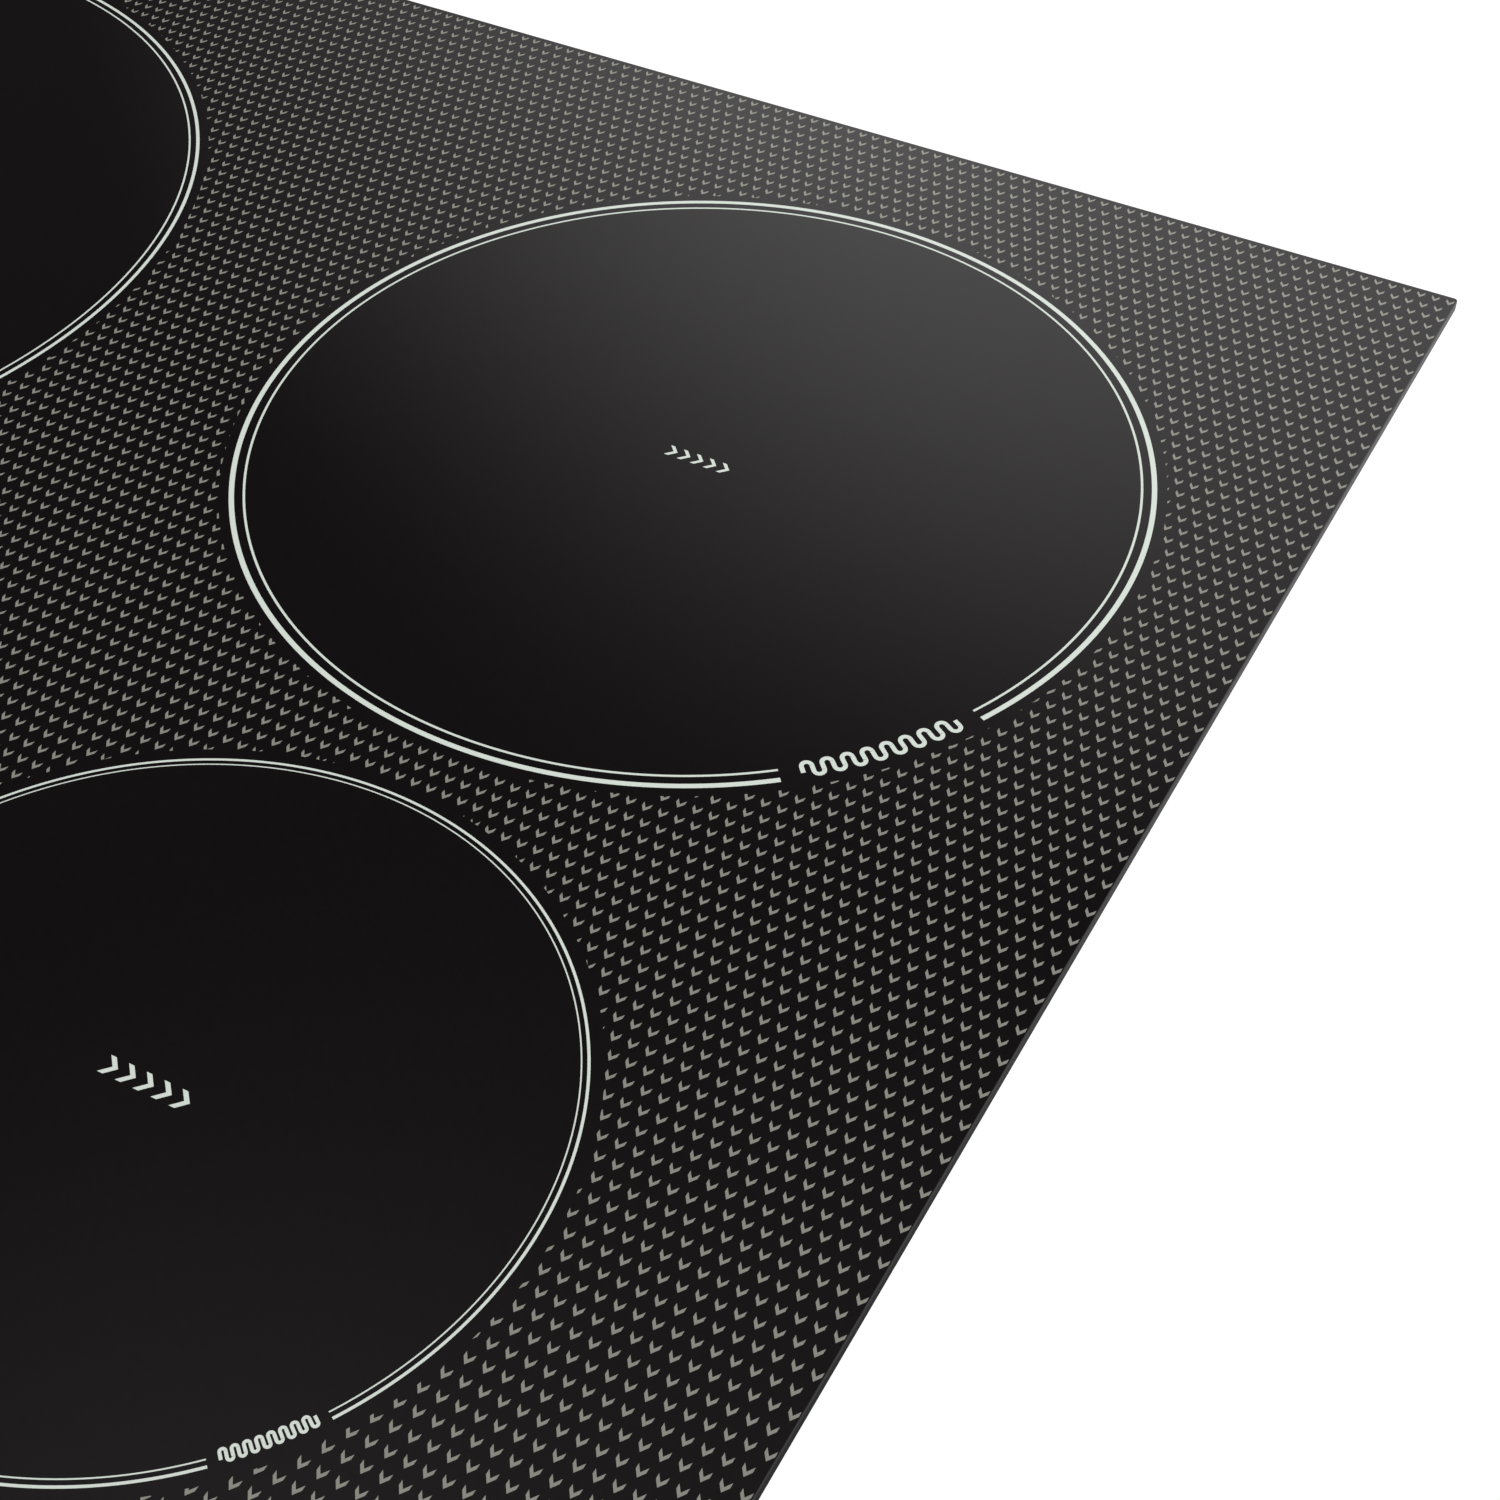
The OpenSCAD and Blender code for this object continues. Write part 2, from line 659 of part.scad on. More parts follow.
module relays() {
    color([0.16, 0.16, 0.18]) for (s = [-1, 1], k = [0, 1]) on_side(s)
        translate([blower_x - sink_w / 2 - 6, board_y - board_d / 2 + 16 + k * 24, board_top])
            linear_extrude(16) rounded(14, 18, 0.8);
}

// A scroll that widens steadily from its tongue round to the outlet at the front
function scroll(extra) = [for (a = [-80:10:180])
    let (r = impeller_r + scroll_gap + extra + scroll_growth * (a + 80) / 260) [r * cos(a), r * sin(a)]];
function scroll_outline(extra) = concat(
    scroll(extra),
    [[-(impeller_r + scroll_gap + scroll_growth + extra), -outlet_reach], [14 + extra, -outlet_reach]]
);

module fan_housings() {
    color([0.13, 0.13, 0.14]) for (s = [-1, 1]) on_side(s) translate([blower_x, blower_y, 0]) difference() {
        translate([0, 0, blower_z]) linear_extrude(blower_h) polygon(scroll_outline(blower_t));
        translate([0, 0, blower_z + blower_t]) linear_extrude(blower_h - 2 * blower_t)
            polygon(scroll_outline(0));
        translate([-outlet_reach, -outlet_reach - 2, blower_z + blower_t])
            cube([outlet_reach + 14, 3, blower_h - 2 * blower_t]);
        translate([0, 0, blower_z - 1]) cylinder(r = inlet_r, h = 3);
    }
}

module fan_motors() {
    color([0.3, 0.3, 0.32]) for (s = [-1, 1]) on_side(s) translate([blower_x, blower_y, 0]) {
        translate([0, 0, motor_z]) cylinder(r = motor_r, h = blower_top - blower_t - motor_z);
        translate([0, 0, motor_z - 4]) cylinder(r = shaft_r, h = 5);
    }
}

// A cup round the motor, a disc, and blades that hang from the disc's edge
module fan_impeller(side) {
    low = motor_z;
    cup_gap = 0.8;
    disc_t = 1.2;
    disc_z = blower_top - blower_t - 4.5;
    blade_z = blower_z + blower_t + 2;
    blades = 20;
    color([0.08, 0.08, 0.09]) on_side(side) translate([blower_x, blower_y, 0]) {
        difference() {
            union() {
                translate([0, 0, low - 1.4 - cup_gap])
                    cylinder(r = motor_r + cup_gap + disc_t, h = disc_z + disc_t - low + 1.4 + cup_gap);
                translate([0, 0, low - 4]) cylinder(r = 4, h = 3);
                translate([0, 0, disc_z]) cylinder(r = impeller_r, h = disc_t);
            }
            translate([0, 0, low - cup_gap]) cylinder(r = motor_r + cup_gap, h = blower_h);
            translate([0, 0, low - 6]) cylinder(r = shaft_r + shaft_fit, h = 8);
        }
        for (k = [0:blades - 1]) rotate([0, 0, k * 360 / blades]) translate([impeller_r - 4.4, 0, blade_z])
            rotate([0, 0, 35]) translate([-3.4, -0.4, 0]) cube([7.2, 0.8, disc_z - blade_z + eps]);
        tube(impeller_r, impeller_r - 2.6, blade_z - 1.2, 1.3);
    }
}

// The flat cable from the touch control passes down through the tray and the coil plate
module ribbon_hole(z) {
    translate([ribbon_x, ribbon_y, z - 1]) linear_extrude(4) rounded(ribbon_w + 6, 12, 2);
}

function ease(t) = t * t * (3 - 2 * t);

module control_ribbon() {
    steps = 16;
    low_z = board_top + 3;
    low_y = board_y - board_d / 2 + 8;
    line = concat(
        [[ribbon_y, control_board_z - 0.2]],
        [for (k = [0:steps]) [ribbon_y + (low_y - 12 - ribbon_y) * ease(k / steps),
            plate_z - 4 + (low_z - plate_z + 4) * k / steps]],
        [[low_y, low_z]]
    );
    back = [for (k = [len(line) - 1:-1:0]) line[k] + [-ribbon_t, -ribbon_t]];
    color([0.7, 0.7, 0.68]) translate([ribbon_x - ribbon_w / 2, 0, 0]) rotate([90, 0, 90])
        linear_extrude(ribbon_w) polygon(concat(line, back));
}

module control_carrier() {
    low = plate_top;
    tray_z = control_board_z - 4;
    color([0.16, 0.16, 0.17]) difference() {
        union() {
            translate([control_x, control_y, tray_z]) linear_extrude(glass_z - layer_gap - tray_z)
                rounded(control_w, control_d, 2);
            for (x = [-1, 1], y = [-1, 1])
                translate([control_x + x * (control_w / 2 - 6), control_y + y * (control_d / 2 - 6), low])
                    cylinder(r = 3, h = tray_z - low + eps);
        }
        difference() {
            translate([control_x, control_y, tray_z + control_wall]) linear_extrude(20)
                rounded(control_w - 2 * control_wall, control_d - 2 * control_wall, 1);
            for (x = [-1, 1], y = [-1, 1])
                translate([control_x + x * (control_w / 2 - 14), control_y + y * (control_d / 2 - 6), tray_z])
                    cylinder(r = 2.4, h = control_board_z - tray_z);
        }
        ribbon_hole(tray_z);
    }
}

module control_board() {
    color([0.12, 0.3, 0.2]) translate([control_x, control_y, control_board_z]) linear_extrude(board_t)
        rounded(control_w - 2 * control_wall - 1, control_d - 2 * control_wall - 1, 1);
}

// Hollow sprung contacts that carry touches from the glass to the board
module touch_springs() {
    z = control_board_z + board_t;
    pitch = (control_w - 28) / (touch_count - 1);
    step = (glass_z - 0.3 - z) / 4;
    color([0.75, 0.75, 0.77]) for (k = [0:touch_count - 1])
        translate([control_x + (k - (touch_count - 1) / 2) * pitch, control_y - 10, 0])
            for (c = [0:3]) tube(touch_r - c * 0.5, touch_r - c * 0.5 - 0.8, z + c * step, step);
}

module display_modules() {
    z = control_board_z + board_t;
    color([0.25, 0.05, 0.05]) for (k = [-2:2])
        translate([control_x + k * 40, control_y + 12, z]) linear_extrude(glass_z - 0.6 - z)
            rounded(k == 0 ? 26 : 14, 14, 0.8);
}

// A moulded box that opens downwards over the base panel's opening. A shelf in its roof holds a row
// of terminals, and the cable comes in behind them, through the rear wall.
module terminal_block() {
    shelf_z = term_top - term_t - term_shelf_t;
    color([0.9, 0.9, 0.86]) difference() {
        translate([term_x, term_y, sheet_t]) linear_extrude(term_top - sheet_t) rounded(term_w, term_d, 2);
        difference() {
            translate([term_x, term_y, sheet_t - 1]) linear_extrude(term_top - term_t - sheet_t + 1)
                rounded(term_bay_w, term_bay_d, 1);
            translate([term_x - term_w / 2, terminal_y - term_shelf_d / 2, shelf_z])
                cube([term_w, term_shelf_d, term_shelf_t + term_t]);
        }
        for (s = [-1, 1]) translate([term_x + s * term_bay_w / 2, hinge_y, hinge_z]) rotate([0, 90, 0])
            cylinder(r = hinge_pin_r + 0.05, h = 2 * term_t + 1, center = true);
        for (k = [0:term_count - 1]) translate([terminal_x(k), terminal_y, shelf_z - 1])
            cylinder(r = term_screw_r + 0.1, h = term_shelf_t);
        clamp_hole(0.1);
    }
}

module terminal_screws() {
    z = term_top - term_t - term_shelf_t;
    color([0.8, 0.66, 0.3]) for (k = [0:term_count - 1]) translate([terminal_x(k), terminal_y, z])
        difference() {
            cylinder(r = term_screw_r, h = term_shelf_t - 1);
            translate([-2.4, -0.4, -eps]) cube([4.8, 0.8, 0.8]);
        }
}

// A flap that swings down about two stub pins in the box's side walls
module terminal_cover() {
    w = term_bay_w - 2 * cover_gap;
    rear_y = term_y + term_bay_d / 2 - cover_gap;
    color([0.88, 0.88, 0.84]) {
        translate([term_x - w / 2, hinge_y, cover_z]) cube([w, rear_y - hinge_y, cover_t]);
        translate([term_x - w / 2, hinge_y, hinge_z]) rotate([0, 90, 0]) cylinder(r = hinge_barrel_r, h = w);
        translate([term_x - term_bay_w / 2 - term_t + 0.4, hinge_y, hinge_z]) rotate([0, 90, 0])
            cylinder(r = hinge_pin_r, h = term_w - 0.8);
        translate([term_x - 8, rear_y - 3, cover_z + cover_t - eps]) cube([16, 1.4, 4]);
    }
}

// A snap-in clamp that holds the mains cable where it passes through the rear wall
module cable_clamp() {
    outer_y = case_d / 2 + 1.6;
    inner_y = term_y + term_bay_d / 2 - 3;
    color([0.1, 0.1, 0.1]) difference() {
        union() {
            translate([cable_x, outer_y, cable_z]) rotate([90, 0, 0]) linear_extrude(outer_y - inner_y)
                square(clamp_w, center = true);
            translate([cable_x, outer_y, cable_z]) rotate([90, 0, 0]) linear_extrude(1.6)
                square([clamp_w + 6, clamp_w + 1], center = true);
        }
        translate([cable_x, outer_y + 1, cable_z]) rotate([90, 0, 0])
            cylinder(r = cable_r, h = outer_y - inner_y + 2);
    }
}

// Each coil's two leads drop from its winding to a tag on the board below
module coil_leads() {
    color([0.85, 0.3, 0.1]) for (i = [0:3]) in_zone(i) at_leads(i) {
        translate([0, 0, board_top]) cylinder(r = lead_r, h = winding_z - board_top);
        translate([0, 0, board_top]) cylinder(r = 2.8, h = 7);
    }
}

// Points on a smooth curve through a list of points
function spline(p, steps) = concat(
    [for (k = [0:len(p) - 2], s = [0:steps - 1])
        let (t = s / steps, a = p[max(k - 1, 0)], b = p[k], c = p[k + 1], d = p[min(k + 2, len(p) - 1)])
        (2 * b + (c - a) * t + (2 * a - 5 * b + 4 * c - d) * t * t
            + (3 * b - a - 3 * c + d) * t * t * t) / 2],
    [p[len(p) - 1]]
);

// Sleeved wires: from the terminals to each board, between the boards, and from each blower's motor
module wiring_harness() {
    mains_r = 3;
    low = sheet_t + mains_r + 2.4;
    right = board_x + board_w / 2 - 17;
    rear = board_y + board_d / 2;
    inner = board_x - board_w / 2 + 17;
    link_x = board_x - board_w / 2 + 9;
    link_y = board_y - 60;
    to_right = [
        [term_x + term_w / 2 + 1, terminal_y, cable_z], [right - 20, terminal_y - 4, cable_z - 2],
        [right, terminal_y - 30, low + 4], [right, (rear + terminal_y) / 2, low],
        [right, rear + 24, low], [right, rear + 6, low + 9], [right, rear - 8, board_top + mains_r + 0.2]
    ];
    to_left = [
        [term_x - term_w / 2 - 1, terminal_y, cable_z],
        [term_x - term_w / 2 - 24, terminal_y - 2, cable_z - 4],
        [channel_x + 20, terminal_y - 10, low], [channel_x - 40, (rear + terminal_y) / 2, low],
        [-inner + 6, rear + 24, low], [-inner, rear + 6, low + 9],
        [-inner, rear - 8, board_top + mains_r + 0.2]
    ];
    link = [
        [link_x, link_y, board_top + 2.2], [link_x - 14, link_y, board_top + 2.4], [30, link_y, low],
        [-30, link_y, low], [14 - link_x, link_y, board_top + 2.4], [-link_x, link_y, board_top + 2.2]
    ];
    motor_lead = [
        [blower_x - 18, blower_y - 6, blower_top + 1.6], [blower_x - 44, blower_y - 14, blower_top + 2.2],
        [blower_x - 60, blower_y - 26, blower_top + 0.6], [blower_x - 66, rear + 10, board_top + 8],
        [blower_x - 66, rear - 4, board_top + 1.6]
    ];
    color([0.3, 0.3, 0.32]) {
        sweep(spline(to_right, 5), mains_r, 8);
        sweep(spline(to_left, 5), mains_r, 8);
        sweep(spline(link, 5), 2, 8);
        for (s = [-1, 1]) on_side(s) sweep(spline(motor_lead, 6), 1, 8);
    }
}

glass_top();
glass_bond();
seal_strip();
case_frame();
base_panel();
case_screws();
clip_brackets();
spring_clip_at(-1, -1);  // spring_clip_front_left
spring_clip_at(1, -1);  // spring_clip_front_right
spring_clip_at(-1, 1);  // spring_clip_rear_left
spring_clip_at(1, 1);  // spring_clip_rear_right
coil_plate();
standoffs();
coil_screws();
for (i = [0:3]) {
    coil_carrier(i);
    winding(i);
    ferrites(i);
    insulation(i);
    sensor(i);
    sensor_spring(i);
}
power_board(-1);  // power_board_left
power_board(1);  // power_board_right
heatsinks();
power_transistors();
capacitors();
filter_chokes();
relays();
fan_housings();
fan_motors();
fan_impeller(-1);  // fan_impeller_left
fan_impeller(1);  // fan_impeller_right
control_carrier();
control_board();
touch_springs();
display_modules();
control_ribbon();
coil_leads();
wiring_harness();
terminal_block();
terminal_screws();
terminal_cover();
cable_clamp();
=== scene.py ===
"""Looks for a built-in induction cooktop: its glass, its print, its finishes, and a plain stage."""
import json
import math

import bpy
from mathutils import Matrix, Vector


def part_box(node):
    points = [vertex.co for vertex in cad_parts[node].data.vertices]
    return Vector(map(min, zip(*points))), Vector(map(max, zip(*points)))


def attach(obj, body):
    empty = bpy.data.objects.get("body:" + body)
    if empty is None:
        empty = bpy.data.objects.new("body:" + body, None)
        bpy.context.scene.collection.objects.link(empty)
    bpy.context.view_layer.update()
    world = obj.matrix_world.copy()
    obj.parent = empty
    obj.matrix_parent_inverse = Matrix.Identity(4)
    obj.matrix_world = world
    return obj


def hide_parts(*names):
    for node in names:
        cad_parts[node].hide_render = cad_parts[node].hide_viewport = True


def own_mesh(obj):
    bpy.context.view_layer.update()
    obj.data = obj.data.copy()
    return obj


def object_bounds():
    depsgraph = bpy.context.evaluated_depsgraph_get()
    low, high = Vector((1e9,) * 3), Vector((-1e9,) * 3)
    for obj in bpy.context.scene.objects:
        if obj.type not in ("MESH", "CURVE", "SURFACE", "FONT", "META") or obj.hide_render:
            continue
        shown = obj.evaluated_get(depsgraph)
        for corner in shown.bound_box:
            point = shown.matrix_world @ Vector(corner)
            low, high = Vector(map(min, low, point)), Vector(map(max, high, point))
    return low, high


bl_info = {
    "name": "Induction Cooktop",
    "version": (1, 0, 0),
    "blender": (4, 5, 0),
    "location": "View3D > Sidebar > Cooktop",
    "description": "Builds the glass, print, finishes and stage of a built-in induction cooktop",
    "category": "Add Mesh",
}

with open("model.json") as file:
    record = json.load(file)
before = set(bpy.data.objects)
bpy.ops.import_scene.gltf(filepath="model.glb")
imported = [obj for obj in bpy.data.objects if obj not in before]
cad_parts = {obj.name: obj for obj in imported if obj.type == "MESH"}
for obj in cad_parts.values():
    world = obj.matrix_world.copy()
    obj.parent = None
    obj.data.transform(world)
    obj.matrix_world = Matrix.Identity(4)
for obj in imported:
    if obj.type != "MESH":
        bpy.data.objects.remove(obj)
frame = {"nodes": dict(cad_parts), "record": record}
cad_low, cad_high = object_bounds()

MM = 0.001
CASE = "hob"
ZONES = ("rear_right", "front_right", "rear_left", "front_left")
INK = 0.02 * MM
glass_low, glass_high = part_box("glass_top")
touch_low, touch_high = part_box("touch_springs")
control_low, control_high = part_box("control_carrier")


def zone_centre(zone):
    low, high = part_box("insulation_" + zone)
    return (low.x + high.x) / 2, (low.y + high.y) / 2


# Sizes and colours that a user would change

class CooktopGlass(bpy.types.PropertyGroup):
    arris: bpy.props.FloatProperty(
        name="Top Arris", description="Width of the polished arris round the top edge",
        default=0.3 * MM, unit="LENGTH")
    bevel: bpy.props.FloatProperty(
        name="Ground Bevel", description="Width of the ground bevel round the bottom edge",
        default=1.1 * MM, unit="LENGTH")
    corner: bpy.props.FloatProperty(
        name="Corner Radius", description="Radius of the plate's corners",
        default=1 * MM, unit="LENGTH")
    colour: bpy.props.FloatVectorProperty(
        name="Glass", description="Body colour of the glass-ceramic", subtype="COLOR", size=3,
        default=(0.0046, 0.0034, 0.004))
    edge_colour: bpy.props.FloatVectorProperty(
        name="Ground Edge", description="Colour of the ground edge", subtype="COLOR", size=3,
        default=(0.016, 0.0155, 0.016))


class CooktopPrint(bpy.types.PropertyGroup):
    """Each list of four runs rear right, front right, rear left, front left."""
    ring_radius: bpy.props.FloatVectorProperty(
        name="Ring Radius", description="Radius of each zone's bold ring", size=4, unit="LENGTH",
        default=(105 * MM, 80.1 * MM, 128.2 * MM, 72.5 * MM))
    ring_width: bpy.props.FloatVectorProperty(
        name="Ring Width", description="Width of each zone's bold ring", size=4, unit="LENGTH",
        default=(1.2 * MM, 0.56 * MM, 0.88 * MM, 0.54 * MM))
    fine_step: bpy.props.FloatVectorProperty(
        name="Ring Step", description="Distance from the bold ring in to the fine ring", size=4,
        unit="LENGTH", default=(2.8 * MM, 1.35 * MM, 2.16 * MM, 1.3 * MM))
    fine_width: bpy.props.FloatVectorProperty(
        name="Fine Ring Width", description="Width of each zone's fine ring", size=4, unit="LENGTH",
        default=(0.55 * MM, 0.28 * MM, 0.48 * MM, 0.28 * MM))
    gap_start: bpy.props.FloatVectorProperty(
        name="Gap Start", description="Angle at which each ring's gap starts", size=4, subtype="EULER",
        default=tuple(math.radians(a) for a in (-51.15, -44.6, -51.15, -44.6)))
    gap_end: bpy.props.FloatVectorProperty(
        name="Gap End", description="Angle at which each ring's gap ends", size=4, subtype="EULER",
        default=tuple(math.radians(a) for a in (-26.4, -29.8, -26.4, -29.8)))
    legend_height: bpy.props.FloatVectorProperty(
        name="Legend Height", description="Height of the coil sign in each ring's gap", size=4,
        unit="LENGTH", default=(4.9 * MM, 3 * MM, 4.9 * MM, 3 * MM))
    boost_width: bpy.props.FloatVectorProperty(
        name="Boost Sign Width", description="Width of the arrows at each zone's centre", size=4,
        unit="LENGTH", default=(16.2 * MM, 19.2 * MM, 16.2 * MM, 19.2 * MM))
    pitch_x: bpy.props.FloatProperty(
        name="Mark Pitch", description="Distance between marks in a row",
        default=3.676 * MM, unit="LENGTH")
    pitch_y: bpy.props.FloatProperty(
        name="Row Pitch", description="Distance between rows of marks", default=4.04 * MM, unit="LENGTH")
    mark_width: bpy.props.FloatProperty(
        name="Mark Width", description="Width of one mark", default=1.9 * MM, unit="LENGTH")
    mark_stroke: bpy.props.FloatProperty(
        name="Mark Stroke", description="Height of a mark's stroke, measured upright",
        default=1.02 * MM, unit="LENGTH")
    mark_rise: bpy.props.FloatProperty(
        name="Mark Rise", description="How far a mark's ends stand above its point",
        default=1.32 * MM, unit="LENGTH")
    mark_margin: bpy.props.FloatProperty(
        name="Mark Margin", description="Clear band between a ring and the marks",
        default=2.9 * MM, unit="LENGTH")
    ring_colour: bpy.props.FloatVectorProperty(
        name="Ring Ink", description="Colour of the rings and signs", subtype="COLOR", size=3,
        default=(0.585, 0.648, 0.59))
    mark_colour: bpy.props.FloatVectorProperty(
        name="Mark Ink", description="Colour of the field of marks", subtype="COLOR", size=3,
        default=(0.228, 0.228, 0.198))


class CooktopStage(bpy.types.PropertyGroup):
    azimuth: bpy.props.FloatProperty(
        name="View Azimuth", description="Direction of the view, 0 from the front", subtype="ANGLE",
        default=math.radians(28.434))
    elevation: bpy.props.FloatProperty(
        name="View Elevation", description="Height of the view above the horizon", subtype="ANGLE",
        default=math.radians(45.2245))
    distance: bpy.props.FloatProperty(
        name="View Distance", description="From the camera to the glass along the line of sight",
        default=507.3 * MM, unit="LENGTH")
    target: bpy.props.FloatVectorProperty(
        name="View Target", description="Point on the glass that the camera looks at, from its centre",
        size=2, unit="LENGTH", default=(210.9 * MM, 33.8 * MM))
    lens: bpy.props.FloatProperty(name="Lens", description="Focal length in millimetres", default=60.07)
    floor_glow: bpy.props.FloatProperty(
        name="Floor Glow", description="How much of the floor's white is its own light", default=0.95)
    room_light: bpy.props.FloatProperty(
        name="Room Light", description="Brightness of the white room round the cooktop", default=1.0)


# Meshes

def add_piece(name, verts, faces, *materials):
    mesh = bpy.data.meshes.new(name)
    mesh.from_pydata(verts, [], faces)
    mesh.validate()
    piece = bpy.data.objects.new(name, mesh)
    bpy.context.scene.collection.objects.link(piece)
    for material in materials:
        mesh.materials.append(material)
    return piece


def add_print(name, shapes, material):
    """One piece of ink from many flat shapes. It is a closed film that reaches just into the glass."""
    verts, faces = [], []
    for tops, outline in shapes:
        add_film(verts, faces, outline, tops)
    piece = add_piece(name, verts, faces, material)
    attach(piece, CASE)
    return piece


def add_film(verts, faces, outline, tops):
    """Appends the film whose edge is outline and whose top is made of the faces tops."""
    base, count = len(verts), len(outline)
    top_z, low_z = cad_high.z, cad_high.z - 1.5 * INK
    verts.extend((x, y, top_z) for x, y in outline)
    verts.extend((x, y, low_z) for x, y in outline)
    for top in tops:
        faces.append([base + k for k in top])
        faces.append([base + count + k for k in reversed(top)])
    for k in range(count):
        after = (k + 1) % count
        faces.append((base + k, base + count + k, base + count + after, base + after))


def polygon(points):
    """A convex or simple outline as one shape, counter-clockwise."""
    return [list(range(len(points)))], points


def band(left, right):
    """A strip between two rows of points that run the same way, left of and right of its direction."""
    count = len(left)
    outline = right + left[::-1]
    tops = [(k, k + 1, 2 * count - 2 - k, 2 * count - 1 - k) for k in range(count - 1)]
    return tops, outline


def ribbon(path, width):
    """A strip of even width along an open path."""
    left, right = [], []
    for k, (x, y) in enumerate(path):
        before, after = path[max(k - 1, 0)], path[min(k + 1, len(path) - 1)]
        dx, dy = after[0] - before[0], after[1] - before[1]
        length = math.hypot(dx, dy)
        nx, ny = -dy / length * width / 2, dx / length * width / 2
        left.append((x + nx, y + ny))
        right.append((x - nx, y - ny))
    return band(left, right)


def arc(x, y, radius, start, end, step=math.radians(1)):
    count = max(2, math.ceil(abs(end - start) / step))
    return [(x + radius * math.cos(start + (end - start) * k / count),
             y + radius * math.sin(start + (end - start) * k / count)) for k in range(count + 1)]


def ring(x, y, radius, width, start, end):
    return band(arc(x, y, radius - width / 2, start, end), arc(x, y, radius + width / 2, start, end))


def closed_ring(x, y, radius, width):
    """A full ring in two halves that meet."""
    return [ring(x, y, radius, width, 0, math.pi), ring(x, y, radius, width, math.pi, 2 * math.pi)]


def bar(x, y, width, height):
    return polygon([(x - width / 2, y - height / 2), (x + width / 2, y - height / 2),
                    (x + width / 2, y + height / 2), (x - width / 2, y + height / 2)])


# Node materials

class Nodes:
    """Short calls that add nodes to a material or a world."""

    def __init__(self, owner):
        owner.use_nodes = True
        self.tree = owner.node_tree
        self.tree.nodes.clear()

    def add(self, kind, **inputs):
        node = self.tree.nodes.new(kind)
        for name, value in inputs.items():
            self.feed(node.inputs[name.replace("_", " ")], value)
        return node

    def feed(self, socket, value):
        if isinstance(value, bpy.types.NodeSocket):
            self.tree.links.new(value, socket)
        else:
            socket.default_value = value

    def math(self, operation, *values):
        node = self.tree.nodes.new("ShaderNodeMath")
        node.operation = operation
        for socket, value in zip(node.inputs, values):
            self.feed(socket, value)
        return node.outputs[0]

    def ease(self, value, start, end, low=0.0, high=1.0):
        """A smooth step from low at start to high at end."""
        node = self.tree.nodes.new("ShaderNodeMapRange")
        node.interpolation_type = "SMOOTHSTEP"
        for socket, number in zip(node.inputs, (value, start, end, low, high)):
            self.feed(socket, number)
        return node.outputs[0]

    def mix(self, factor, first, second):
        node = self.tree.nodes.new("ShaderNodeMix")
        node.data_type = "RGBA"
        self.feed(node.inputs[0], factor)
        self.feed(node.inputs[6], first)
        self.feed(node.inputs[7], second)
        return node.outputs[2]

    def noise(self, where, scale, detail=4.0, roughness=0.55):
        return self.add("ShaderNodeTexNoise", Vector=where, Scale=scale, Detail=detail,
                        Roughness=roughness).outputs["Fac"]

    def stretched(self, where, scale):
        node = self.add("ShaderNodeMapping", Vector=where)
        node.inputs["Scale"].default_value = scale
        return node.outputs[0]

    def bump(self, height, strength, distance):
        return self.add("ShaderNodeBump", Height=height, Strength=strength, Distance=distance).outputs[0]

    def here(self):
        return self.add("ShaderNodeTexCoord").outputs["Object"]

    def finish(self, shader, kind="ShaderNodeOutputMaterial"):
        self.tree.links.new(shader, self.tree.nodes.new(kind).inputs["Surface"])


def shade(colour, factor):
    return tuple(min(1.0, c * factor) for c in colour[:3]) + (1.0,)


def new_material(name):
    """An empty material, the calls that add its nodes, and the place being shaded."""
    material = bpy.data.materials.new(name)
    n = Nodes(material)
    return material, n, n.here()


def glass_finish(name, colour):
    """Polished black glass-ceramic, with a trace of unevenness in its polish."""
    material, n, where = new_material(name)
    polish = n.ease(n.noise(where, 7.0, 3.0), 0.3, 0.7, 0.035, 0.065)
    tint = n.mix(n.noise(where, 900.0, 2.0), shade(colour, 0.8), shade(colour, 1.25))
    shader = n.add("ShaderNodeBsdfPrincipled", Base_Color=tint, Roughness=polish, IOR=1.5,
                   Normal=n.bump(n.noise(where, 14.0, 1.0), 0.015, 0.0004))
    n.finish(shader.outputs[0])
    return material


def ground_finish(name, colour):
    """Glass left matt by the grinding wheel."""
    material, n, where = new_material(name)
    grit = n.noise(where, 2600.0, 6.0, 0.7)
    tint = n.mix(grit, shade(colour, 0.7), shade(colour, 1.4))
    shader = n.add("ShaderNodeBsdfPrincipled", Base_Color=tint,
                   Roughness=n.ease(grit, 0.2, 0.8, 0.2, 0.42), IOR=1.5,
                   Normal=n.bump(grit, 0.3, 0.00005))
    n.finish(shader.outputs[0])
    return material


def ink_finish(name, colour, roughness):
    """Fired ceramic ink: slightly mottled and a little less glossy than the glass."""
    material, n, where = new_material(name)
    mottle = n.noise(where, 3200.0, 5.0, 0.65)
    tint = n.mix(mottle, shade(colour, 0.9), shade(colour, 1.1))
    shader = n.add("ShaderNodeBsdfPrincipled", Base_Color=tint,
                   Roughness=n.ease(mottle, 0.25, 0.75, roughness * 0.8, roughness * 1.2), IOR=1.5,
                   Normal=n.bump(mottle, 0.12, 0.00002))
    n.finish(shader.outputs[0])
    return material


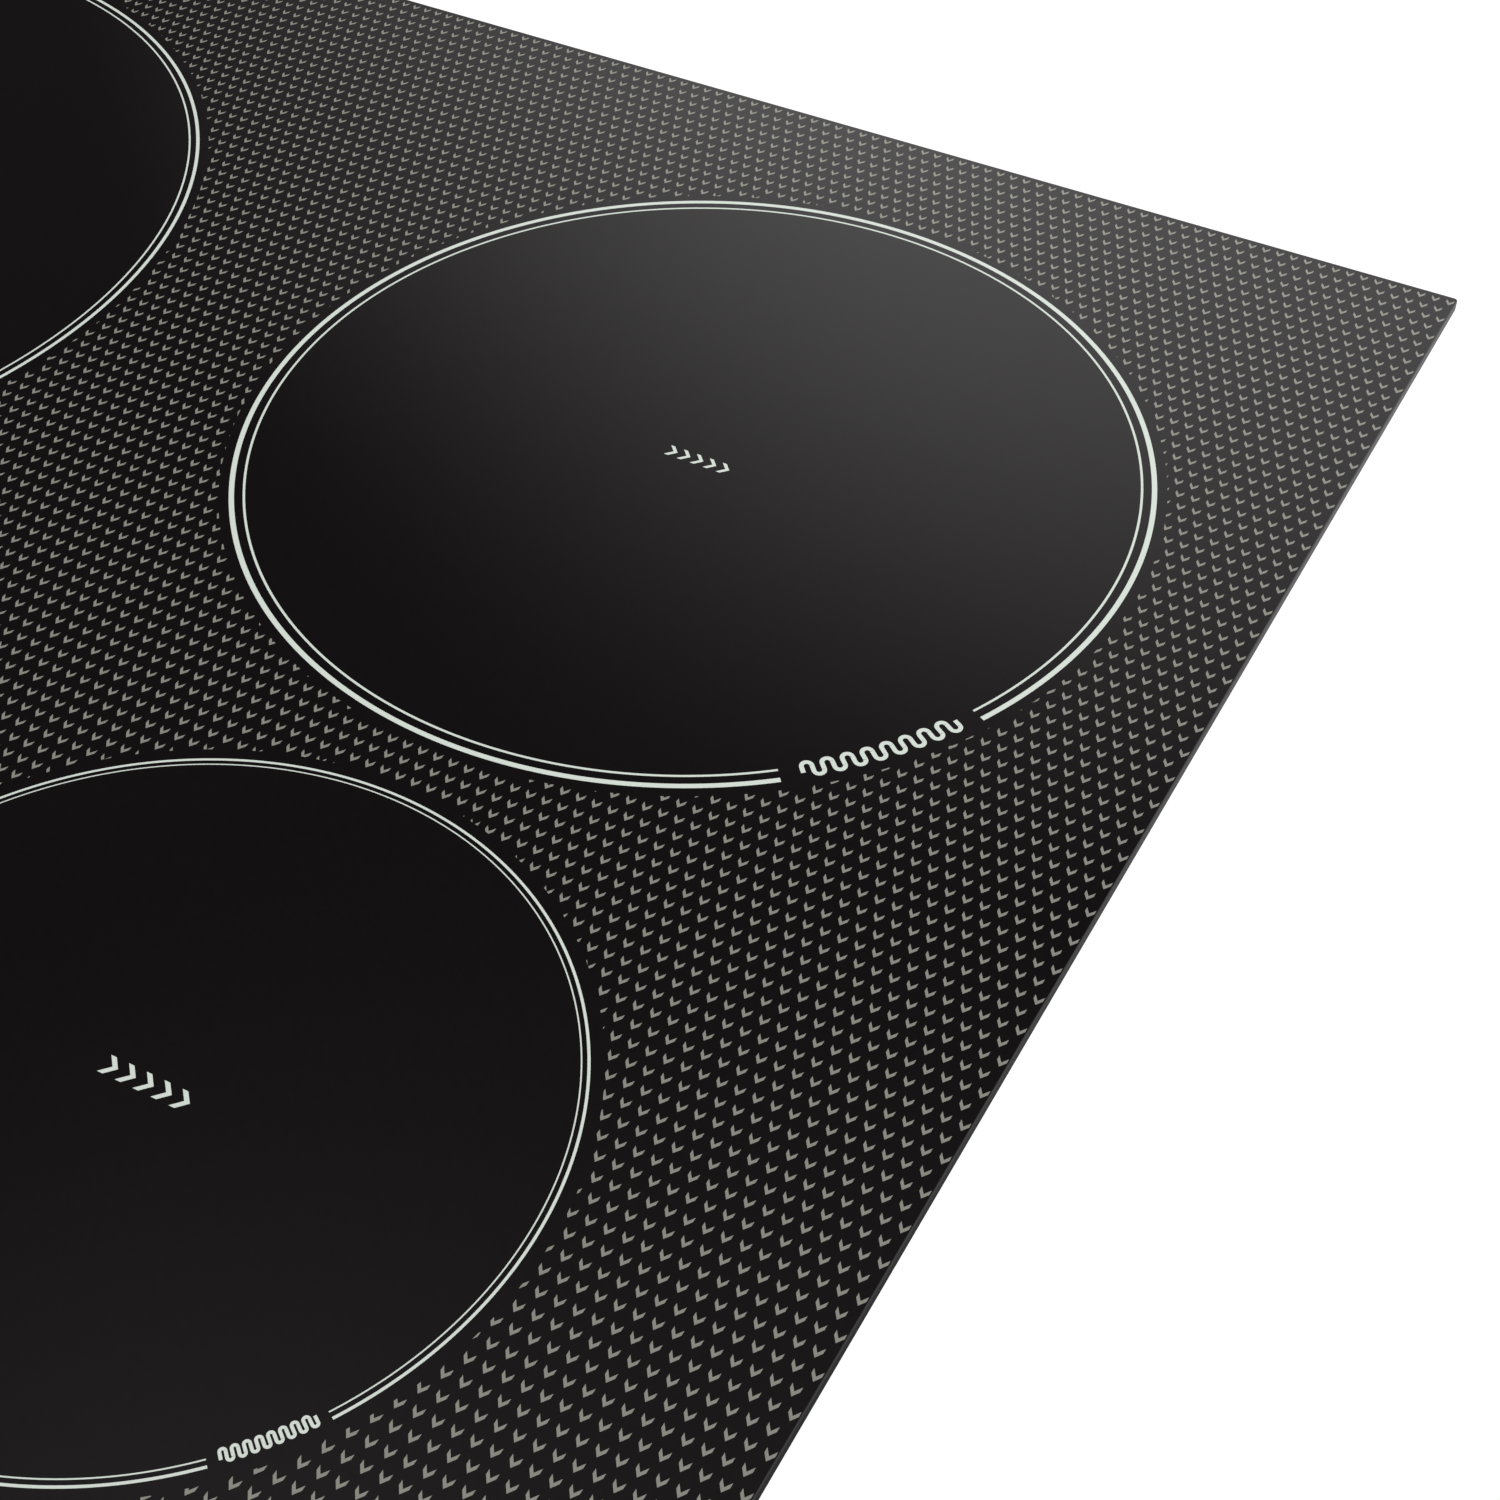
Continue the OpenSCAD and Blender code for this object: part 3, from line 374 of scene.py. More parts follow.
def moulded_finish(name, colour, roughness=0.5, grain=1400.0, relief=0.00006):
    """Moulded plastic, rubber or ceramic with a fine grain and a little unevenness in its colour."""
    material, n, where = new_material(name)
    fine = n.noise(where, grain, 4.0, 0.6)
    broad = n.noise(where, grain / 40, 2.0)
    tint = n.mix(broad, shade(colour, 0.86), shade(colour, 1.14))
    shader = n.add("ShaderNodeBsdfPrincipled", Base_Color=tint,
                   Roughness=n.ease(fine, 0.25, 0.75, roughness - 0.08, roughness + 0.08),
                   Normal=n.bump(fine, 0.35, relief))
    n.finish(shader.outputs[0])
    return material


def metal_finish(name, colour, roughness=0.35, grain=(60.0, 60.0, 60.0), streak=0.1):
    """Metal whose brightness and polish vary in streaks; grain sets how the streaks are stretched."""
    material, n, where = new_material(name)
    streaks = n.noise(n.stretched(where, grain), 20.0, 6.0, 0.6)
    tint = n.mix(streaks, shade(colour, 1 - streak), shade(colour, 1 + streak))
    shader = n.add("ShaderNodeBsdfPrincipled", Base_Color=tint, Metallic=1.0,
                   Roughness=n.ease(streaks, 0.3, 0.7, roughness - 0.07, roughness + 0.09),
                   Normal=n.bump(streaks, 0.12, 0.00003))
    n.finish(shader.outputs[0])
    return material


def galvanised_finish(name, colour):
    """Zinc-coated sheet: large crystals that differ in brightness and polish, and faint rolling marks."""
    material, n, where = new_material(name)
    wander = n.noise(where, 90.0, 3.0)
    spot = n.add("ShaderNodeVectorMath", Vector=where)
    spot.operation = "ADD"
    offset = n.add("ShaderNodeCombineXYZ", X=n.math("MULTIPLY", wander, 0.006),
                   Y=n.math("MULTIPLY", wander, 0.005))
    n.feed(spot.inputs[1], offset.outputs[0])
    crystals = n.add("ShaderNodeTexVoronoi", Vector=spot.outputs[0], Scale=230.0)
    grey = n.add("ShaderNodeSeparateColor", Color=crystals.outputs["Color"]).outputs[0]
    rolled = n.noise(n.stretched(where, (3.0, 160.0, 160.0)), 12.0, 4.0)
    tint = n.mix(grey, shade(colour, 0.95), shade(colour, 1.05))
    polish = n.math("ADD", n.ease(grey, 0.0, 1.0, 0.3, 0.38), n.math("MULTIPLY", rolled, 0.1))
    shader = n.add("ShaderNodeBsdfPrincipled", Base_Color=tint, Metallic=1.0, Roughness=polish,
                   Normal=n.bump(rolled, 0.1, 0.00002))
    n.finish(shader.outputs[0])
    return material


def wound_finish(name, colour, pitch, centre=(0.0, 0.0)):
    """Enamelled strands laid side by side in rings round a centre, with painted shade in the grooves."""
    material, n, where = new_material(name)
    shift = n.add("ShaderNodeMapping", Vector=where)
    shift.inputs["Location"].default_value = (-centre[0], -centre[1], 0)
    strands = n.add("ShaderNodeTexWave", Vector=shift.outputs[0], Scale=1 / pitch, Distortion=0.6,
                    Detail=1.0)
    strands.wave_type, strands.rings_direction = "RINGS", "Z"
    fleck = n.noise(where, 700.0, 3.0)
    # Painted shade: dark in the grooves between strands and light on their crowns, following the bump;
    # the flecks are random tone
    groove_shade_and_fleck = n.math("MULTIPLY", strands.outputs["Fac"], fleck)
    tint = n.mix(groove_shade_and_fleck, shade(colour, 0.55), shade(colour, 1.3))
    shader = n.add("ShaderNodeBsdfPrincipled", Base_Color=tint, Metallic=0.7, Roughness=0.34,
                   Normal=n.bump(strands.outputs["Fac"], 0.6, 0.0002))
    n.finish(shader.outputs[0])
    return material


def board_finish(name, colour):
    """Green solder mask over a maze of copper tracks."""
    material, n, where = new_material(name)
    maze = n.add("ShaderNodeTexBrick", Vector=where, Scale=140.0, Mortar_Size=0.03)
    tracks = maze.outputs["Fac"]
    tint = n.mix(tracks, shade(colour, 0.8), shade(colour, 1.9))
    shader = n.add("ShaderNodeBsdfPrincipled", Base_Color=tint, Roughness=0.3,
                   Normal=n.bump(tracks, 0.4, 0.00004))
    n.finish(shader.outputs[0])
    return material


def ribbed_finish(name, colour, pitch):
    """A flat cable's parallel cores, with painted shade in the grooves between them."""
    material, n, where = new_material(name)
    cores = n.add("ShaderNodeTexWave", Vector=where, Scale=1 / pitch, Distortion=0.0)
    cores.bands_direction = "X"
    # Painted shade: the colour is darker in the grooves between the cores, following the bump
    tint = n.mix(cores.outputs["Fac"], shade(colour, 0.6), shade(colour, 1.1))
    shader = n.add("ShaderNodeBsdfPrincipled", Base_Color=tint, Roughness=0.5,
                   Normal=n.bump(cores.outputs["Fac"], 0.6, 0.0002))
    n.finish(shader.outputs[0])
    return material


# Glass

def plate_outline(inset, corner):
    """The plate's outline, counter-clockwise from above, drawn in by inset."""
    radius = max(corner - inset, 0.05 * MM)
    low_x, high_x = glass_low.x + inset + radius, glass_high.x - inset - radius
    low_y, high_y = glass_low.y + inset + radius, glass_high.y - inset - radius
    corners = ((high_x, high_y, 0), (low_x, high_y, 90), (low_x, low_y, 180), (high_x, low_y, 270))
    return [point for x, y, turn in corners
            for point in arc(x, y, radius, math.radians(turn), math.radians(turn + 90), math.radians(15))]


ARRIS_STEPS = 4
TURN_STEPS = 3
BEVEL_TURN = 0.32  # radius between the side and the bevel, as a share of the bevel's width
BEVEL_RISE = 1.2  # height of the bevel over its width
FOOT_RISE, FOOT_INSET = 0.06 * MM, 0.04 * MM  # eased corner between the bevel and the bottom face


def plate_section(props):
    """Inset and height of each level of the edge, from the top face down: arris, side, ground bevel."""
    top, low = glass_high.z - INK, glass_low.z
    steps = [(props.arris * (1 - math.sin(a)), top - props.arris * (1 - math.cos(a)))
             for a in (math.pi / 2 * k / ARRIS_STEPS for k in range(ARRIS_STEPS + 1))]
    turn = props.bevel * BEVEL_TURN
    under = [(turn * (1 - math.cos(a)), low + props.bevel * BEVEL_RISE - turn * math.sin(a))
             for a in (math.pi / 4 * k / TURN_STEPS for k in range(TURN_STEPS + 1))]
    last_inset, last_z = under[-1]
    return steps + under + [(last_inset + last_z - low - FOOT_RISE, low + FOOT_RISE),
                            (last_inset + last_z - low + FOOT_INSET, low)]


class COOKTOP_OT_glass_plate(bpy.types.Operator):
    """Makes the glass plate with its arris and ground bevel"""
    bl_idname = "cooktop.glass_plate"
    bl_label = "Glass Plate"

    def execute(self, context):
        props = context.scene.cooktop_glass
        levels = [[(x, y, z) for x, y in plate_outline(inset, props.corner)]
                  for inset, z in plate_section(props)]
        count = len(levels[0])
        verts = [point for level in levels for point in level]
        faces = [list(range(count)), list(reversed(range(len(verts) - count, len(verts))))]
        for row in range(len(levels) - 1):
            for k in range(count):
                after = (k + 1) % count
                a, b = row * count, (row + 1) * count
                faces.append((a + k, b + k, b + after, a + after))
        plate = add_piece("glass_plate", verts, faces, glass_finish("black_glass_ceramic", props.colour),
                          ground_finish("ground_glass", props.edge_colour))
        for face in plate.data.polygons[2:]:
            face.use_smooth = True
            row = (face.index - 2) // count
            face.material_index = 0 if row < ARRIS_STEPS else 1
        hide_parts("glass_top")
        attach(plate, CASE)
        return {"FINISHED"}


# Print

LOOP_STEPS = 8
COIL_STROKE = 0.2  # width of a coil sign's line, as a share of its height
COIL_LENGTH = 0.83  # a coil sign's length, as a share of its gap
ARROW_SPACE = 0.22  # between two arrows, as a share of their pitch
ARROW_HEIGHT = 0.215  # as a share of the whole row's width
ARROW_STROKE = 0.3  # as a share of an arrow's height
BOOST_SHIFT = (1.5 * MM, -0.6 * MM)  # from a zone's centre to its row of arrows
PANEL_SIDE, PANEL_REAR = 4 * MM, 3 * MM  # clear of marks beside and behind the controls
LAST_MARK = 0.9  # how near the left edge a mark may be, as a share of the first mark's distance
KEYS = 9


def serpentine(length, height, legs):
    """A line that runs up and down legs times along length, with round ends, from its middle."""
    radius = length / legs / 2
    reach = height / 2 - radius
    path = []
    for k in range(legs):
        x = -length / 2 + radius + 2 * radius * k
        up = 1 if k % 2 == 0 else -1
        path.append((x, -up * reach))
        if k < legs - 1:
            path += [(x + radius - radius * math.cos(a), up * (reach + radius * math.sin(a)))
                     for a in (math.pi * s / LOOP_STEPS for s in range(LOOP_STEPS + 1))]
        else:
            path.append((x, up * reach))
    return path


def bent(path, x, y, radius, middle):
    """A flat path laid along an arc, with its own up pointing at the arc's centre."""
    return [(x + (radius - v) * math.cos(middle + u / radius),
             y + (radius - v) * math.sin(middle + u / radius)) for u, v in path]


def arrow(x, y, width, height, stroke):
    """A chevron that points to the right."""
    tip, low, high = x + width / 2, y - height / 2, y + height / 2
    return polygon([(x - width / 2, low), (x - width / 2 + stroke, low), (tip, y),
                    (x - width / 2 + stroke, high), (x - width / 2, high), (tip - stroke, y)])


class COOKTOP_OT_zone_rings(bpy.types.Operator):
    """Prints each zone's bold ring and fine ring, open where the coil sign stands"""
    bl_idname = "cooktop.zone_rings"
    bl_label = "Zone Rings"

    def execute(self, context):
        props = context.scene.cooktop_print
        ink = ink_finish("ring_ink", props.ring_colour, 0.35)
        for k, zone in enumerate(ZONES):
            x, y = zone_centre(zone)
            start, end = props.gap_end[k], props.gap_start[k] + 2 * math.pi
            radius = props.ring_radius[k]
            shapes = [ring(x, y, radius, props.ring_width[k], start, end),
                      ring(x, y, radius - props.fine_step[k], props.fine_width[k], start, end)]
            add_print("rings_" + zone, shapes, ink)
        return {"FINISHED"}


class COOKTOP_OT_zone_signs(bpy.types.Operator):
    """Prints a coil sign in each ring's gap and a row of arrows at each zone's centre"""
    bl_idname = "cooktop.zone_signs"
    bl_label = "Zone Signs"
    coil_legs: bpy.props.IntProperty(
        name="Coil Legs", description="Upright strokes of a coil sign", default=17)
    arrows: bpy.props.IntProperty(name="Arrows", description="Arrows in a boost sign", default=5)

    def execute(self, context):
        props = context.scene.cooktop_print
        ink = ink_finish("sign_ink", props.ring_colour, 0.35)
        for k, zone in enumerate(ZONES):
            x, y = zone_centre(zone)
            height = props.legend_height[k]
            stroke = height * COIL_STROKE
            middle = (props.gap_start[k] + props.gap_end[k]) / 2
            radius = props.ring_radius[k] - height / 2 + props.ring_width[k] / 2
            length = (props.gap_end[k] - props.gap_start[k]) * radius * COIL_LENGTH
            line = serpentine(length, height - stroke, self.coil_legs)
            coil = ribbon(bent(line, x, y, radius, middle), stroke)
            pitch = props.boost_width[k] / (self.arrows - ARROW_SPACE)
            tall = props.boost_width[k] * ARROW_HEIGHT
            row = [arrow(x + BOOST_SHIFT[0] + (place - (self.arrows - 1) / 2) * pitch, y + BOOST_SHIFT[1],
                         pitch * (1 - ARROW_SPACE), tall, tall * ARROW_STROKE)
                   for place in range(self.arrows)]
            add_print("signs_" + zone, [coil] + row, ink)
        return {"FINISHED"}


def cut_by_line(points, normal, limit):
    """The part of a convex outline on the far side of a line, where dot(point, normal) >= limit."""
    kept = []
    for k, point in enumerate(points):
        before = points[k - 1]
        here = point[0] * normal[0] + point[1] * normal[1] - limit
        there = before[0] * normal[0] + before[1] * normal[1] - limit
        if (here >= 0) != (there >= 0):
            share = there / (there - here)
            kept.append(tuple(a + (b - a) * share for a, b in zip(before, point)))
        if here >= 0:
            kept.append(point)
    return kept


def mark_shapes(x, y, props, clear):
    """One mark of the field, a small chevron, cut where it meets a zone's clear circle."""
    half, stroke, drop = props.mark_width / 2, props.mark_stroke, props.mark_rise
    top = y + (drop + stroke) / 2
    for centre_x, centre_y, radius in clear:
        away = math.hypot(x - centre_x, y - centre_y)
        if away < radius - 1.5 * half:
            return []
        if away < radius + 1.5 * half:
            normal = ((x - centre_x) / away, (y - centre_y) / away)
            limit = centre_x * normal[0] + centre_y * normal[1] + radius
            arms = [[(x + s * half, top), (x + s * half, top - stroke),
                     (x, top - drop - stroke), (x, top - drop)] for s in (-1, 1)]
            arms[1].reverse()
            cut = [cut_by_line(arm, normal, limit) for arm in arms]
            return [polygon(arm) for arm in cut if len(arm) > 2]
    outline = [(x - half, top), (x - half, top - stroke), (x, top - drop - stroke),
               (x + half, top - stroke), (x + half, top), (x, top - drop)]
    return [([(0, 1, 2, 5), (5, 2, 3, 4)], outline)]


class COOKTOP_OT_mark_field(bpy.types.Operator):
    """Prints the field of small marks over the plate, clear of the zones and the controls"""
    bl_idname = "cooktop.mark_field"
    bl_label = "Mark Field"
    first_x: bpy.props.FloatProperty(
        name="First Mark", description="Right edge to the last mark of a row",
        default=1.45 * MM, unit="LENGTH")
    first_y: bpy.props.FloatProperty(
        name="First Row", description="Rear edge to the first row", default=2.65 * MM, unit="LENGTH")

    def execute(self, context):
        props = context.scene.cooktop_print
        clear = [(*zone_centre(zone), radius + props.mark_margin)
                 for zone, radius in zip(ZONES, props.ring_radius)]
        panel = (control_low.x - PANEL_SIDE, control_high.x + PANEL_SIDE, control_high.y + PANEL_REAR)
        rows = int((glass_high.y - glass_low.y - 2 * self.first_y) / props.pitch_y) + 1
        halves = {"marks_left": [], "marks_right": []}
        for row in range(rows):
            y = glass_high.y - self.first_y - row * props.pitch_y
            x = glass_high.x - self.first_x - row % 2 * props.pitch_x / 2
            while x > glass_low.x + self.first_x * LAST_MARK:
                if not (panel[0] < x < panel[1] and y < panel[2]):
                    halves["marks_right" if x > 0 else "marks_left"] += mark_shapes(x, y, props, clear)
                x -= props.pitch_x
        ink = ink_finish("mark_ink", props.mark_colour, 0.16)
        for name, shapes in halves.items():
            add_print(name, shapes, ink)
        return {"FINISHED"}


def power_sign(x, y, size, stroke):
    return [ring(x, y, size / 2, stroke, math.radians(120), math.radians(420)),
            bar(x, y + size * 0.36, stroke, size * 0.46)]


def lock_sign(x, y, size, stroke):
    return [bar(x, y - size * 0.2, size * 0.76, size * 0.56),
            ribbon([(x - size * 0.24, y + size * 0.08),
                    *arc(x, y + size * 0.2, size * 0.24, math.pi, 0, math.radians(15)),
                    (x + size * 0.24, y + size * 0.08)], stroke)]


def timer_sign(x, y, size, stroke):
    hands = [bar(x, y + size * 0.14, stroke, size * 0.3), bar(x + size * 0.1, y, size * 0.22, stroke)]
    return closed_ring(x, y, size / 2, stroke) + hands


def zone_sign(x, y, size, chosen):
    """Four small rings for the four zones, with the chosen one filled."""
    shapes = []
    for k, (side, end) in enumerate(((-1, 1), (1, 1), (-1, -1), (1, -1))):
        spot_x, spot_y, radius = x + side * size * 0.27, y + end * size * 0.27, size * 0.17
        if k == chosen:
            shapes.append(polygon(arc(spot_x, spot_y, radius, 0, 2 * math.pi, math.radians(12))[:-1]))
        else:
            shapes += closed_ring(spot_x, spot_y, radius, size * 0.06)
    return shapes


class COOKTOP_OT_control_print(bpy.types.Operator):
    """Prints a plain sign over each touch key"""
    bl_idname = "cooktop.control_print"
    bl_label = "Control Print"
    size: bpy.props.FloatProperty(
        name="Sign Size", description="Height of a key's sign", default=7 * MM, unit="LENGTH")
    stroke: bpy.props.FloatProperty(
        name="Sign Stroke", description="Width of a sign's line", default=0.55 * MM, unit="LENGTH")

    def execute(self, context):
        props = context.scene.cooktop_print
        key_y = (touch_low.y + touch_high.y) / 2
        key_r = (touch_high.y - touch_low.y) / 2
        keys = [touch_low.x + key_r + (touch_high.x - touch_low.x - 2 * key_r) * k / (KEYS - 1)
                for k in range(KEYS)]
        size, stroke = self.size, self.stroke
        shapes = power_sign(keys[0], key_y, size, stroke) + lock_sign(keys[1], key_y, size, stroke)
        for k in range(4):
            shapes += zone_sign(keys[2 + k], key_y, size * 1.25, k)
        shapes += [bar(keys[6], key_y, size * 0.8, stroke), bar(keys[7], key_y, size * 0.8, stroke),
                   bar(keys[7], key_y + size * 0.24, stroke, size * 0.32),
                   bar(keys[7], key_y - size * 0.24, stroke, size * 0.32)]
        shapes += timer_sign(keys[8], key_y, size, stroke)
        add_print("control_signs", shapes, ink_finish("control_ink", props.ring_colour, 0.35))
        return {"FINISHED"}


# Sensor springs

def coiled_wire(low, high, wire, turns):
    """A compression spring that fills the box from low to high, with closed ends."""
    steps, sides = 24, 10
    centre = (low + high) / 2
    radius = (high.x - low.x) / 2 - wire
    bottom, rise = low.z + wire, high.z - low.z - 2 * wire
    closed = 2 * wire / rise
    verts, faces = [], []
    for k in range(turns * steps + 1):
        a = 2 * math.pi * k / steps
        lap = k / steps
        if lap < 1:
            share = closed * lap
        elif lap > turns - 1:
            share = 1 - closed * (turns - lap)
        else:
            share = closed + (1 - 2 * closed) * (lap - 1) / (turns - 2)
        out = Vector((math.cos(a), math.sin(a), 0))
        middle = Vector((centre.x, centre.y, bottom + rise * share)) + out * radius
        for s in range(sides):
            b = 2 * math.pi * s / sides
            verts.append(middle + out * wire * math.cos(b) + Vector((0, 0, wire * math.sin(b))))
    for k in range(turns * steps):
        for s in range(sides):
            a, b = k * sides + s, k * sides + (s + 1) % sides
            faces.append((a, b, b + sides, a + sides))
    faces += [tuple(range(sides)), tuple(reversed(range(len(verts) - sides, len(verts))))]
    return verts, faces


class COOKTOP_OT_sensor_springs(bpy.types.Operator):
    """Makes the spring under each temperature sensor"""
    bl_idname = "cooktop.sensor_springs"
    bl_label = "Sensor Springs"
    wire: bpy.props.FloatProperty(
        name="Wire Radius", description="Radius of the wire", default=0.45 * MM, unit="LENGTH")
    turns: bpy.props.IntProperty(name="Turns", description="Turns of wire, ends included", default=6)
    travel: bpy.props.FloatProperty(
        name="Travel", description="How far a sensor goes down", default=2 * MM, unit="LENGTH")

    def execute(self, context):
        steel = metal_finish("spring_wire", (0.5, 0.51, 0.53), 0.24, (200.0, 200.0, 200.0))
        for zone in ZONES:
            low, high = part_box("sensor_spring_" + zone)
            spring = add_piece("spring_" + zone, *coiled_wire(low, high, self.wire, self.turns), steel)
            for face in spring.data.polygons[:-2]:
                face.use_smooth = True
            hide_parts("sensor_spring_" + zone)
            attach(spring, CASE)
            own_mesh(spring)
        return {"FINISHED"}


# Finishes of the pieces that the frame brings

COPPER = (0.62, 0.28, 0.12)


def finishes():
    """Each slot of the record and its finish. The windings' slot is apart, as each has its own centre."""
    return {
        "silicone": moulded_finish("silicone", (0.02, 0.02, 0.02), 0.55, 500.0, 0.0001),
        "foam_seal": moulded_finish("foam", (0.035, 0.035, 0.035), 0.85, 2200.0, 0.0003),
        "case_steel": galvanised_finish("zinc_coated_sheet", (0.62, 0.64, 0.65)),
        "screw_steel": metal_finish("zinc_plate", (0.62, 0.62, 0.6), 0.3, (400.0, 400.0, 400.0)),
        "spring_steel": metal_finish("spring_steel", (0.5, 0.51, 0.53), 0.24, (200.0, 20.0, 20.0)),
        "aluminium_sheet": metal_finish(
            "aluminium_sheet", (0.78, 0.79, 0.8), 0.32, (6.0, 200.0, 200.0), 0.06),
        "carrier_plastic": moulded_finish("glass_filled_plastic", (0.76, 0.74, 0.68), 0.55, 1100.0),
        "ferrite": moulded_finish("ferrite", (0.05, 0.05, 0.055), 0.62, 1800.0, 0.0001),
        "mica": moulded_finish("mica", (0.72, 0.7, 0.62), 0.6, 320.0, 0.0002),
        "ceramic": moulded_finish("ceramic", (0.88, 0.88, 0.85), 0.2, 900.0, 0.00002),
        "circuit_board": board_finish("solder_mask", (0.02, 0.13, 0.05)),
        "heatsink_aluminium": metal_finish(
            "extruded_aluminium", (0.75, 0.76, 0.77), 0.4, (200.0, 6.0, 200.0)),
        "black_plastic": moulded_finish("black_plastic", (0.022, 0.022, 0.024), 0.42, 1500.0),
        "motor_steel": metal_finish("motor_steel", (0.34, 0.34, 0.36), 0.3, (200.0, 200.0, 10.0)),
        "capacitor_film": moulded_finish("capacitor_case", (0.62, 0.56, 0.36), 0.35, 600.0),
        "choke_copper": wound_finish("choke_winding", COPPER, 9 * MM),
        "display_red": moulded_finish("smoked_window", (0.09, 0.008, 0.008), 0.18, 800.0, 0.00001),
        "ribbon_grey": ribbed_finish("ribbon_cores", (0.55, 0.55, 0.53), 8 * MM),
        "wire_silicone": moulded_finish("wire_sleeve", (0.3, 0.05, 0.03), 0.5, 900.0, 0.0001),
        "terminal_plastic": moulded_finish("terminal_plastic", (0.78, 0.78, 0.73), 0.45, 1300.0),
        "terminal_brass": metal_finish("terminal_brass", (0.75, 0.6, 0.25), 0.28, (300.0, 300.0, 300.0)),
    }


class COOKTOP_OT_finishes(bpy.types.Operator):
    """Gives every piece inside and under the glass its finish"""
    bl_idname = "cooktop.finishes"
    bl_label = "Finishes"

    def execute(self, context):
        made = finishes()
        slots = {part["node"]: part["material_slot"] for part in frame["record"]["subparts"]}
        for node, piece in frame["nodes"].items():
            if node == "glass_top" or node.startswith("sensor_spring"):
                continue
            slot = slots[node]
            if slot == "litz_wire":
                zone = node.removeprefix("winding_")
                finish = wound_finish("litz_" + zone, COPPER, 8 * MM, zone_centre(zone))
            else:
                finish = made[slot]
            piece.data.materials.clear()
            piece.data.materials.append(finish)
        return {"FINISHED"}


# Stage

def white_floor(glow):
    """Nearly shadowless white that can be seen from above only."""
    material = bpy.data.materials.new("white_floor")
    n = Nodes(material)
    own = n.add("ShaderNodeEmission", Strength=glow)
    lit = n.add("ShaderNodeBsdfDiffuse")
    lit.inputs["Color"].default_value = (0.12, 0.12, 0.12, 1)
    both = n.add("ShaderNodeAddShader")
    n.feed(both.inputs[0], own.outputs[0])
    n.feed(both.inputs[1], lit.outputs[0])
    under = n.add("ShaderNodeNewGeometry").outputs["Backfacing"]
    clear = n.add("ShaderNodeBsdfTransparent")
    choice = n.add("ShaderNodeMixShader")
    n.feed(choice.inputs[0], under)
    n.feed(choice.inputs[1], both.outputs[0])
    n.feed(choice.inputs[2], clear.outputs[0])
    n.finish(choice.outputs[0])
    return material


def studio_world(world, light):
    """A white room with a dark screen at the rear left and a bright panel low at the rear.

    Below the horizon it stands for the light that the floor sends back, which is weak close to the
    cooktop.
    """
    n = Nodes(world)
    way = n.add("ShaderNodeSeparateXYZ", Vector=n.add("ShaderNodeTexCoord").outputs["Generated"])
    x, y, z = way.outputs
    degrees = 180 / math.pi
    turn = n.math("MULTIPLY", n.math("ARCTAN2", x, y), degrees)
    rise = n.math("MULTIPLY", n.math("ARCSINE", z), degrees)
    # The dark screen, lighter overhead and further round to the left
    screen = n.math("MULTIPLY", n.ease(rise, 46, 68, 0.0, 0.32), n.ease(turn, -28, -56, 0.45, 1.0))
    screen = n.math("ADD", screen, 0.04)
    # The bright panel, whose left side leans as it goes up
    lean = n.math("MULTIPLY", n.math("MAXIMUM", n.math("SUBTRACT", rise, 34), 0.0), 0.6)
    side = n.ease(n.math("SUBTRACT", turn, lean), -45.5, -22)
    bright = n.math("ADD", n.ease(rise, 49, 32.5, 0.0, 0.88), n.ease(rise, 34.5, 28, 0.0, 0.35))
    panel = n.math("MULTIPLY", side, bright)
    # The room: left, overhead and right
    room = n.math("MAXIMUM", n.ease(turn, -66, -100), n.ease(rise, 66, 86, 0.0, 0.6))
    low_right = n.math("MAXIMUM", n.ease(rise, 30, 48), n.ease(turn, 75, 105))
    room = n.math("MAXIMUM", room, n.math("MULTIPLY", n.ease(turn, -6, 30), low_right))
    above = n.math("MAXIMUM", n.math("ADD", screen, panel), room)
    # Under the horizon
    beside = n.ease(n.math("ABSOLUTE", n.math("SUBTRACT", turn, 20)), 35, 70, 0.0, 0.55)
    below = n.math("MAXIMUM", n.ease(rise, -58, -29, 0.05, 0.6), n.ease(rise, -66, -78, 0.0, 0.55))
    below = n.math("MAXIMUM", below, beside)
    sky = n.math("GREATER_THAN", z, 0.0)
    glow = n.math("ADD", n.math("MULTIPLY", sky, above),
                  n.math("MULTIPLY", n.math("SUBTRACT", 1.0, sky), below))
    seen = n.add("ShaderNodeLightPath").outputs["Is Camera Ray"]
    shader = n.add("ShaderNodeBackground", Strength=n.math("ADD", n.math("MULTIPLY", glow, light), seen))
    shader.inputs["Color"].default_value = (1.0, 0.985, 0.99, 1)
    n.finish(shader.outputs[0], "ShaderNodeOutputWorld")


def softbox(name, place, target, size, power):
    """A square area light that lights the cooktop but isn't mirrored in its glass."""
    light = bpy.data.lights.new(name, "AREA")
    light.shape, light.size, light.energy = "SQUARE", size, power
    lamp = bpy.data.objects.new(name, light)
    lamp.location = place
    lamp.visible_glossy = False
    lamp.rotation_mode = "QUATERNION"
    lamp.rotation_quaternion = (Vector(target) - Vector(place)).to_track_quat("-Z", "Y")
    bpy.context.scene.collection.objects.link(lamp)


